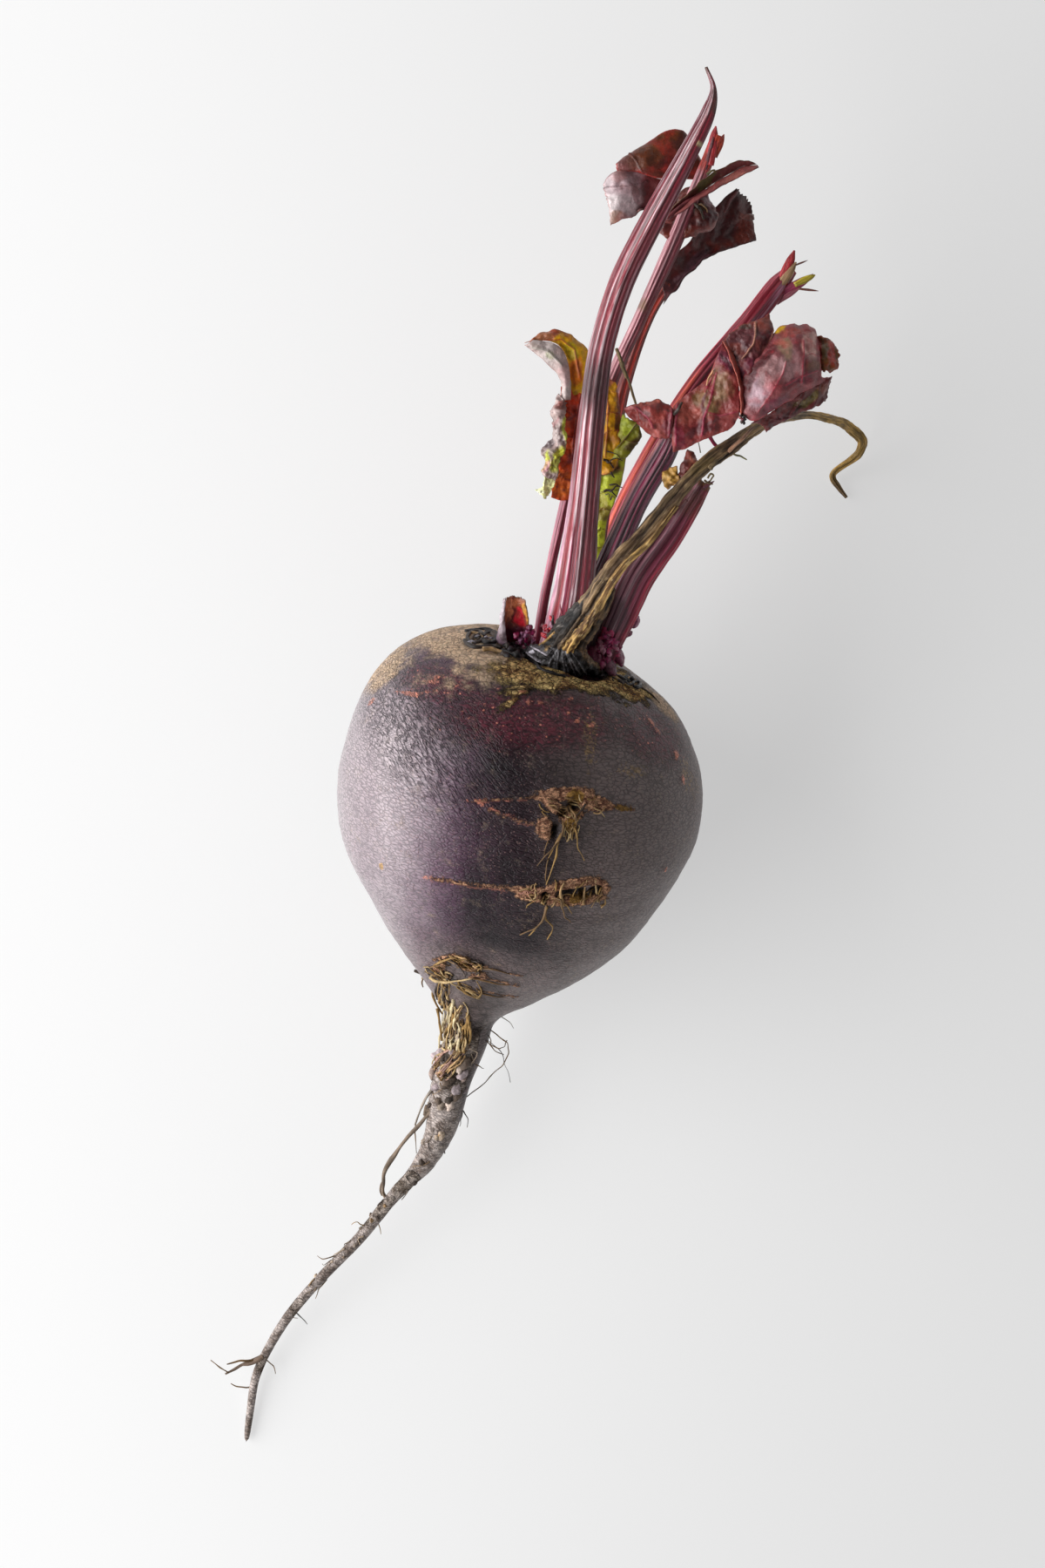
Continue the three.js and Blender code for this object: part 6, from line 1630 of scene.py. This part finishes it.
# The side root from the neck: a pale wire with a second strand twisted beside it.
ROOT_BROWN, ROOT_GREY = (124, 106, 90), (150, 138, 126)
side_root = strands(
    1,
    ([(-18.5, -73.4, 22), (-19.8, -75.4, 21.6), (-23.2, -78.4, 20), (-28, -84, 17), (-32.4, -90, 15),
      (-34.4, -94, 14.4), (-34.6, -98.4, 13), (-33.4, -101.6, 11)], 0.62, ROOT_BROWN, 0.2, 0.75, 12),
    ([(-21.8, -71.6, 22), (-23.8, -74.6, 21), (-25.4, -78, 18.6), (-26.6, -81.4, 17.8)], 0.35, ROOT_GREY,
     0.2, 0.6),
    ([(-26.4, -81, 18), (-26.7, -84, 17), (-26.3, -88.6, 15)], 0.18, WIRE, 0.2, 0.5),
    ([(-34.4, -95, 14), (-35.4, -97, 13), (-35, -99.4, 12)], 0.25, ROOT_BROWN, 0.15, 0.5),
)
make_piece("side_rootlet", side_root, root_fibre, "side_root")


def touching(x, y, z):
    """The nearest place on the root's skin."""
    return tuple(skin.find_nearest(Vector((x, y, z)))[0])


tail_end = strands(
    1,
    ([(-65, -140.4, 4.2), (-67.6, -141.6, 4.6), (-70.4, -142.6, 5), (-74.4, -144.6, 6)], 0.8,
     (134, 112, 96), 0.15, 0.4, 10),
    ([(-67.4, -141.4, 4.6), (-70.6, -141.4, 5.4), (-74, -142.2, 6)], 0.35, WIRE, 0.15, 0.4),
    ([(-73.6, -144.2, 6), (-75.8, -142.8, 6.6), (-78, -141, 6.8)], 0.22, WIRE, 0.15, 0.5),
    ([(-67.8, -148.2, 2.6), (-70.4, -148.4, 3), (-73.2, -147.4, 3.2)], 0.25, WIRE, 0.15, 0.4),
)
make_piece("tail_rootlets", tail_end, root_fibre, "tail_rootlet")

# Wires and papery mats round the neck.
rng_neck = random.Random(31)
neck_wires = rootlets(
    (((-24.4, -44.4), (-20, -39.4), (-16.4, -38.4), (-12.4, -41)), 0.34, GOLD, 1.4),
    (((-22.2, -43.6), (-19.6, -44.6), (-16.6, -44.2), (-12, -43.4)), 0.42, PALE_GOLD, 1.5),
    (((-15.6, -44), (-13.6, -47.2), (-11.2, -48.4), (-9.8, -46.8), (-11, -44)), 0.3, GOLD, 1.2),
    (((-20, -40.6), (-18, -43.8), (-15, -45.6), (-12, -46.8)), 0.26, PALE_GOLD, 1.6),
    (((-12.4, -43.2), (-8, -44.4), (-3, -45)), 0.3, WIRE, 0.4),
    (((-11, -40.6), (-7, -41), (-3, -42.2)), 0.24, WIRE, 0.3),
    (((-10.6, -47), (-6, -48), (-2, -48.6)), 0.24, WIRE, 0.3),
    (((-19.6, -43.6), (-18.6, -47), (-18, -50.4)), 0.32, GOLD, 1),
    (((-17, -39), (-15, -40.4), (-13.6, -43)), 0.3, DARK_WIRE, 0.9),
)
neck_wires += strands(
    10,
    ([(-24.6, -41, 30), (-23.6, -43, 32), (-21.6, -44.6, 33.4), (-19, -45.6, 36)], 0.5, PALE_GOLD, 0.2,
     0.6),
    ([(-26.4, -42.6, 30), (-24.4, -43.4, 31), (-22.6, -43.4, 33)], 0.35, DARK_WIRE, 0.15, 0.7),
    ([(-22.6, -43.6, 31), (-22, -47, 28), (-21.4, -50.6, 26), (-19.6, -53.4, 27)], 0.4, GOLD, 0.25, 0.5),
    ([(-24.2, -44, 29), (-24.6, -45.6, 28), (-24.4, -46.8, 27)], 0.25, WIRE, 0.1, 0.5),
    ([(-23.6, -40.4, 31), (-22.4, -42.6, 33), (-22.8, -45.4, 30)], 0.3, GOLD, 0.2, 0.5),
    ([(-20.8, -52, 27), (-20.4, -56, 27), (-19.8, -60, 26)], 0.4, GOLD, 0.25, 0.7),
    ([touching(-8, -57.4, 25), (-5.4, -59.2, 24.4), (-4, -60.8, 24), (-3.6, -63.2, 22), (-5, -66.4, 20),
      (-8, -69.6, 18), (-10.6, -72, 17), touching(-13.2, -74.6, 18)], 0.16, WIRE, 0.3, 0.8, 6),
    ([touching(-8.2, -58.8, 25), (-7.6, -60.8, 25), (-6, -61.8, 24.6), (-4.6, -61.6, 24),
      (-3.8, -60, 23.6)], 0.14, WIRE, 0.25, 0.8, 6),
    ([touching(-7.6, -60.4, 24), (-5.6, -62.4, 23), (-4.4, -66, 21), (-3, -70.8, 18)], 0.11, DARK_WIRE,
     0.25, 0.6, 6),
    ([touching(-9, -60, 25), (-6.6, -62.6, 23), (-4.6, -63.6, 22.4)], 0.16, WIRE, 0.2, 0.7, 6),
    ([touching(-11.6, -66, 24), (-10.4, -66.6, 23.6), (-9.6, -67, 23)], 0.16, WIRE, 0.1, 0.6, 6),
    ([touching(-4.4, -55.4, 20), (-3, -56, 19.4), (-2.2, -57.4, 18.6)], 0.12, WIRE, 0.1, 0.6, 6),
)


NECK_HEIGHT = 22


def under(x, y):
    """The skin straight below a place, or the nearest skin where the root ends short of it."""
    return on_skin(x, y) or touching(x, y, NECK_HEIGHT)


def matted(count, top, foot, across, length, halves, tones, seed, rise):
    """Matted fibres round a line over the skin, mostly along it, each with both ends on the skin."""
    rng = random.Random(seed)
    (x1, y1), (x2, y2) = top, foot
    far = math.hypot(x2 - x1, y2 - y1)
    along = ((x2 - x1) / far, (y2 - y1) / far)
    made = []
    for k in range(count):
        start = rng.uniform(0, far)
        end = min(far, start + rng.uniform(*length))
        side, drift = rng.uniform(-across, across), rng.gauss(0, 0.35 * across)
        spots = []
        for share, height in ((0, 0.1), (0.3, 0.8), (0.65, 1.0), (1, 0.2)):
            run, off = start + (end - start) * share, side + drift * math.sin(2.6 * share)
            px, py = x1 + along[0] * run - along[1] * off, y1 + along[1] * run + along[0] * off
            low = under(px, py)
            spots.append(
                (0.5 * (low[0] + px), 0.5 * (low[1] + py), low[2] + height * rise * rng.uniform(0.3, 1))
            )
        made.append(strand(spots, rng.uniform(*halves), rng.choice(tones), seed + k, 0.12, 0.6, 6))
    return made


STRAW = ((214, 196, 156), GOLD, (196, 168, 120), WIRE)
for mat in (
    (46, (-15.6, -49), (-17.4, -62.5), 3.4, (3, 9), (0.2, 0.45), STRAW, 200, 1.6),
    (34, (-13, -60.6), (-21.6, -68), 2.4, (3, 8), (0.16, 0.4), (TAN, PALE_GOLD, (168, 130, 116), WIRE), 300,
     1.1),
    (24, (-18.8, -43), (-20, -52), 1.6, (3, 7), (0.16, 0.4), (GOLD, WIRE, DARK_WIRE, PALE_GOLD), 400, 1.6),
    (26, (-24, -41.4), (-17.6, -44.6), 1.8, (2, 5), (0.14, 0.36), (PALE_GOLD, GOLD, DARK_WIRE, WIRE), 500,
     2.2),
    (24, (-19, -37.8), (-10, -41.6), 1.4, (2, 5), (0.14, 0.34), (GOLD, WIRE, DARK_WIRE, TAN), 600, 1.3),
    (16, (-16, -44.6), (-9.8, -47.6), 1.0, (2, 6), (0.14, 0.3), (GOLD, WIRE, PALE_GOLD), 700, 1.2),
):
    neck_wires += matted(*mat)
for k in range(26):  # pale knobs and dark crumbs where side roots broke off below the mat
    place = (rng_neck.uniform(-25, -14), rng_neck.uniform(-78, -62))
    tone = rng_neck.choice(((176, 160, 162), (150, 130, 120), (96, 80, 68), (64, 52, 44), (190, 172, 160)))
    half = rng_neck.uniform(0.5, 1.2)
    spot = under(*place)
    neck_wires.append(
        clod(spot, (half * 1.5, half, half * 0.8), tone, rng_neck.uniform(20, 100), 800 + k, 0.35)
    )
make_piece("neck_wires", neck_wires, root_fibre, None)

# Flakes, knobs and hairs down the tap root.
tail_bits = []
rng = random.Random(12)
for k in range(96):
    back = 98 + 84 * rng.random() ** 1.7
    reach = float(np.interp(back, outline_fine[:, 1], outline_fine[:, 0]))
    turn_at = rng.gauss(0, 1.5)
    place = round_skin(back, turn_at, 0.05)
    if place[2] < 0.6 or (back < 120 and math.sin(turn_at) > 0.5):  # the neck is smooth on its right
        continue
    tone = rng.choice(((150, 134, 120), (118, 100, 84), (78, 64, 54), (176, 156, 136), (150, 120, 84)))
    if rng.random() < 0.55:
        half = min(rng.uniform(0.35, 1.1), 0.28 * reach)
        tail_bits.append(
            clod(place, (half * rng.uniform(1.0, 1.9), half, half * 0.6), tone, rng.uniform(20, 110),
                500 + k, 0.45)
        )
    else:
        on = round_skin(back + rng.uniform(1, 2.6), turn_at + rng.gauss(0, 0.3), 0.25)
        off = round_skin(back + rng.uniform(2, 4), turn_at + rng.gauss(0, 0.4), rng.uniform(0.1, 0.9))
        if min(on[2], off[2]) > 0.4:
            tail_bits.append(strand([place, on, off], rng.uniform(0.12, 0.34), tone, 700 + k, 0.1, 0.4, 6))
TAIL_HAIRS = (
    ((-47.6, -114, 9), (-50.6, -114.8, 9.4), (-52, -114, 9)),
    ((-50.5, -114.5, 9), (-49, -114.6, 9), (-47.8, -115.2, 8)),
    ((-48.6, -121, 8), (-50.6, -123.6, 6), (-51.6, -126.2, 4)),
    ((-60, -128.8, 6), (-58.4, -129.8, 6.4), (-56.8, -130.2, 6)),
    ((-57, -129, 6), (-55.6, -130.4, 5), (-54.4, -132.2, 3.6)),
    ((-35, -104, 10), (-35.8, -106.8, 8), (-35.4, -109.6, 6)),
    ((-30, -90, 17), (-28, -91.4, 17), (-26.4, -91, 16)),
    ((-13.6, -78, 19), (-12.4, -80, 18), (-12.6, -82.4, 16)),
    ((-41, -106, 13), (-42.8, -105.2, 13.4), (-44.2, -105.8, 13)),
    ((-63, -142, 4), (-61.6, -143.6, 3), (-61, -145.6, 2)),
)
for k, path in enumerate(TAIL_HAIRS):
    shift = np.array(touching(*path[0])) - np.array(path[0])
    tail_bits.append(strand([np.array(p) + shift for p in path], 0.17, (WIRE, DARK_WIRE, GOLD)[k % 3],
                            900 + k, 0.15, 0.5, 6))
make_piece("tail_flakes", tail_bits, root_fibre, None)


# ---- Floor, lights and camera ----
# A pale seamless surface below the beetroot, one large soft window light from its left, and a camera
# that looks straight down. These sizes are in metres.
FLOOR_SIDE = 6.0
FLOOR_GAP = 0.0002  # keeps the floor clear of the resting spot
PAPER_GLOW = 0.6  # how much of the paper's tone takes no shadow
WINDOW_POWER = 26.0
WINDOW_PLACE, WINDOW_TARGET = (-0.95, -0.1, 0.56), (0, 0, 0.05)
floor_mesh = bpy.data.meshes.new("floor")
half = FLOOR_SIDE / 2
low = cad_box[0].z - FLOOR_GAP
floor_mesh.from_pydata(
    [(-half, -half, low), (half, -half, low), (half, half, low), (-half, half, low)], [], [(0, 1, 2, 3)],
)
floor = bpy.data.objects.new("floor", floor_mesh)
bpy.context.scene.collection.objects.link(floor)
floor_paper, tree, shader = start_material("floor_paper", 0.9, 0.1)
shader.inputs["Base Color"].default_value = colour(244, 244, 244)
place = add_node(tree, "TexCoord").outputs["Object"]
across = add_node(tree, "SeparateXYZ", {0: place}).outputs[0]
# The paper's glow is painted light that stands in for the window's light on it, fading away from the
# window.
glow = between(tree, across, -0.16, 0.16, 1.0, 0.78)  # the paper darkens away from the window
shown = add_node(tree, "Emission", {"Color": (1, 1, 1, 1), "Strength": glow}).outputs[0]
rays = add_node(tree, "LightPath").outputs
seen_rays = maths(tree, "MAXIMUM", rays["Is Camera Ray"], rays["Is Glossy Ray"])
seen_rays = maths(tree, "MAXIMUM", seen_rays, rays["Is Transmission Ray"])
share = times(tree, seen_rays, PAPER_GLOW)
paper = add_node(tree, "MixShader", {0: share, 1: shader.outputs[0], 2: shown}).outputs[0]
tree.links.new(paper, tree.nodes["Material Output"].inputs["Surface"])
floor_mesh.materials.append(floor_paper)

window = bpy.data.lights.new("window", "AREA")
window.shape, window.size, window.size_y, window.energy = "RECTANGLE", 1.6, 1.15, WINDOW_POWER
window_light = bpy.data.objects.new("window", window)
window_light.location = WINDOW_PLACE
aim = Vector(WINDOW_TARGET) - Vector(WINDOW_PLACE)
window_light.rotation_euler = aim.to_track_quat("-Z", "Y").to_euler()
bpy.context.scene.collection.objects.link(window_light)

world = bpy.data.worlds.new("studio")
bpy.context.scene.world = world
world.use_nodes = True
sky = world.node_tree
direction = add_node(sky, "TexCoord").outputs["Generated"]
upward = add_node(sky, "SeparateXYZ", {0: direction}).outputs[2]
sky.nodes["Background"].inputs["Color"].default_value = (1, 1, 1, 1)
sky.links.new(between(sky, upward, 0.05, 0.6, 1.0, 0.07), sky.nodes["Background"].inputs["Strength"])

CAMERA_HEIGHT, CAMERA_FORWARD = 1.05, 0.003
SENSOR = 36.0
FRAME_HALF_TALL = 0.18787  # tangent of half the tall side's angle
camera = bpy.data.cameras.new("camera")
camera.sensor_width = SENSOR
camera.lens = SENSOR / 2 / FRAME_HALF_TALL
camera.clip_start, camera.clip_end = 0.05, 10
viewer = bpy.data.objects.new("camera", camera)
viewer.location = (0.0, CAMERA_FORWARD, CAMERA_HEIGHT)
bpy.context.scene.collection.objects.link(viewer)
bpy.context.scene.camera = viewer
bpy.context.scene.view_settings.view_transform = "Standard"
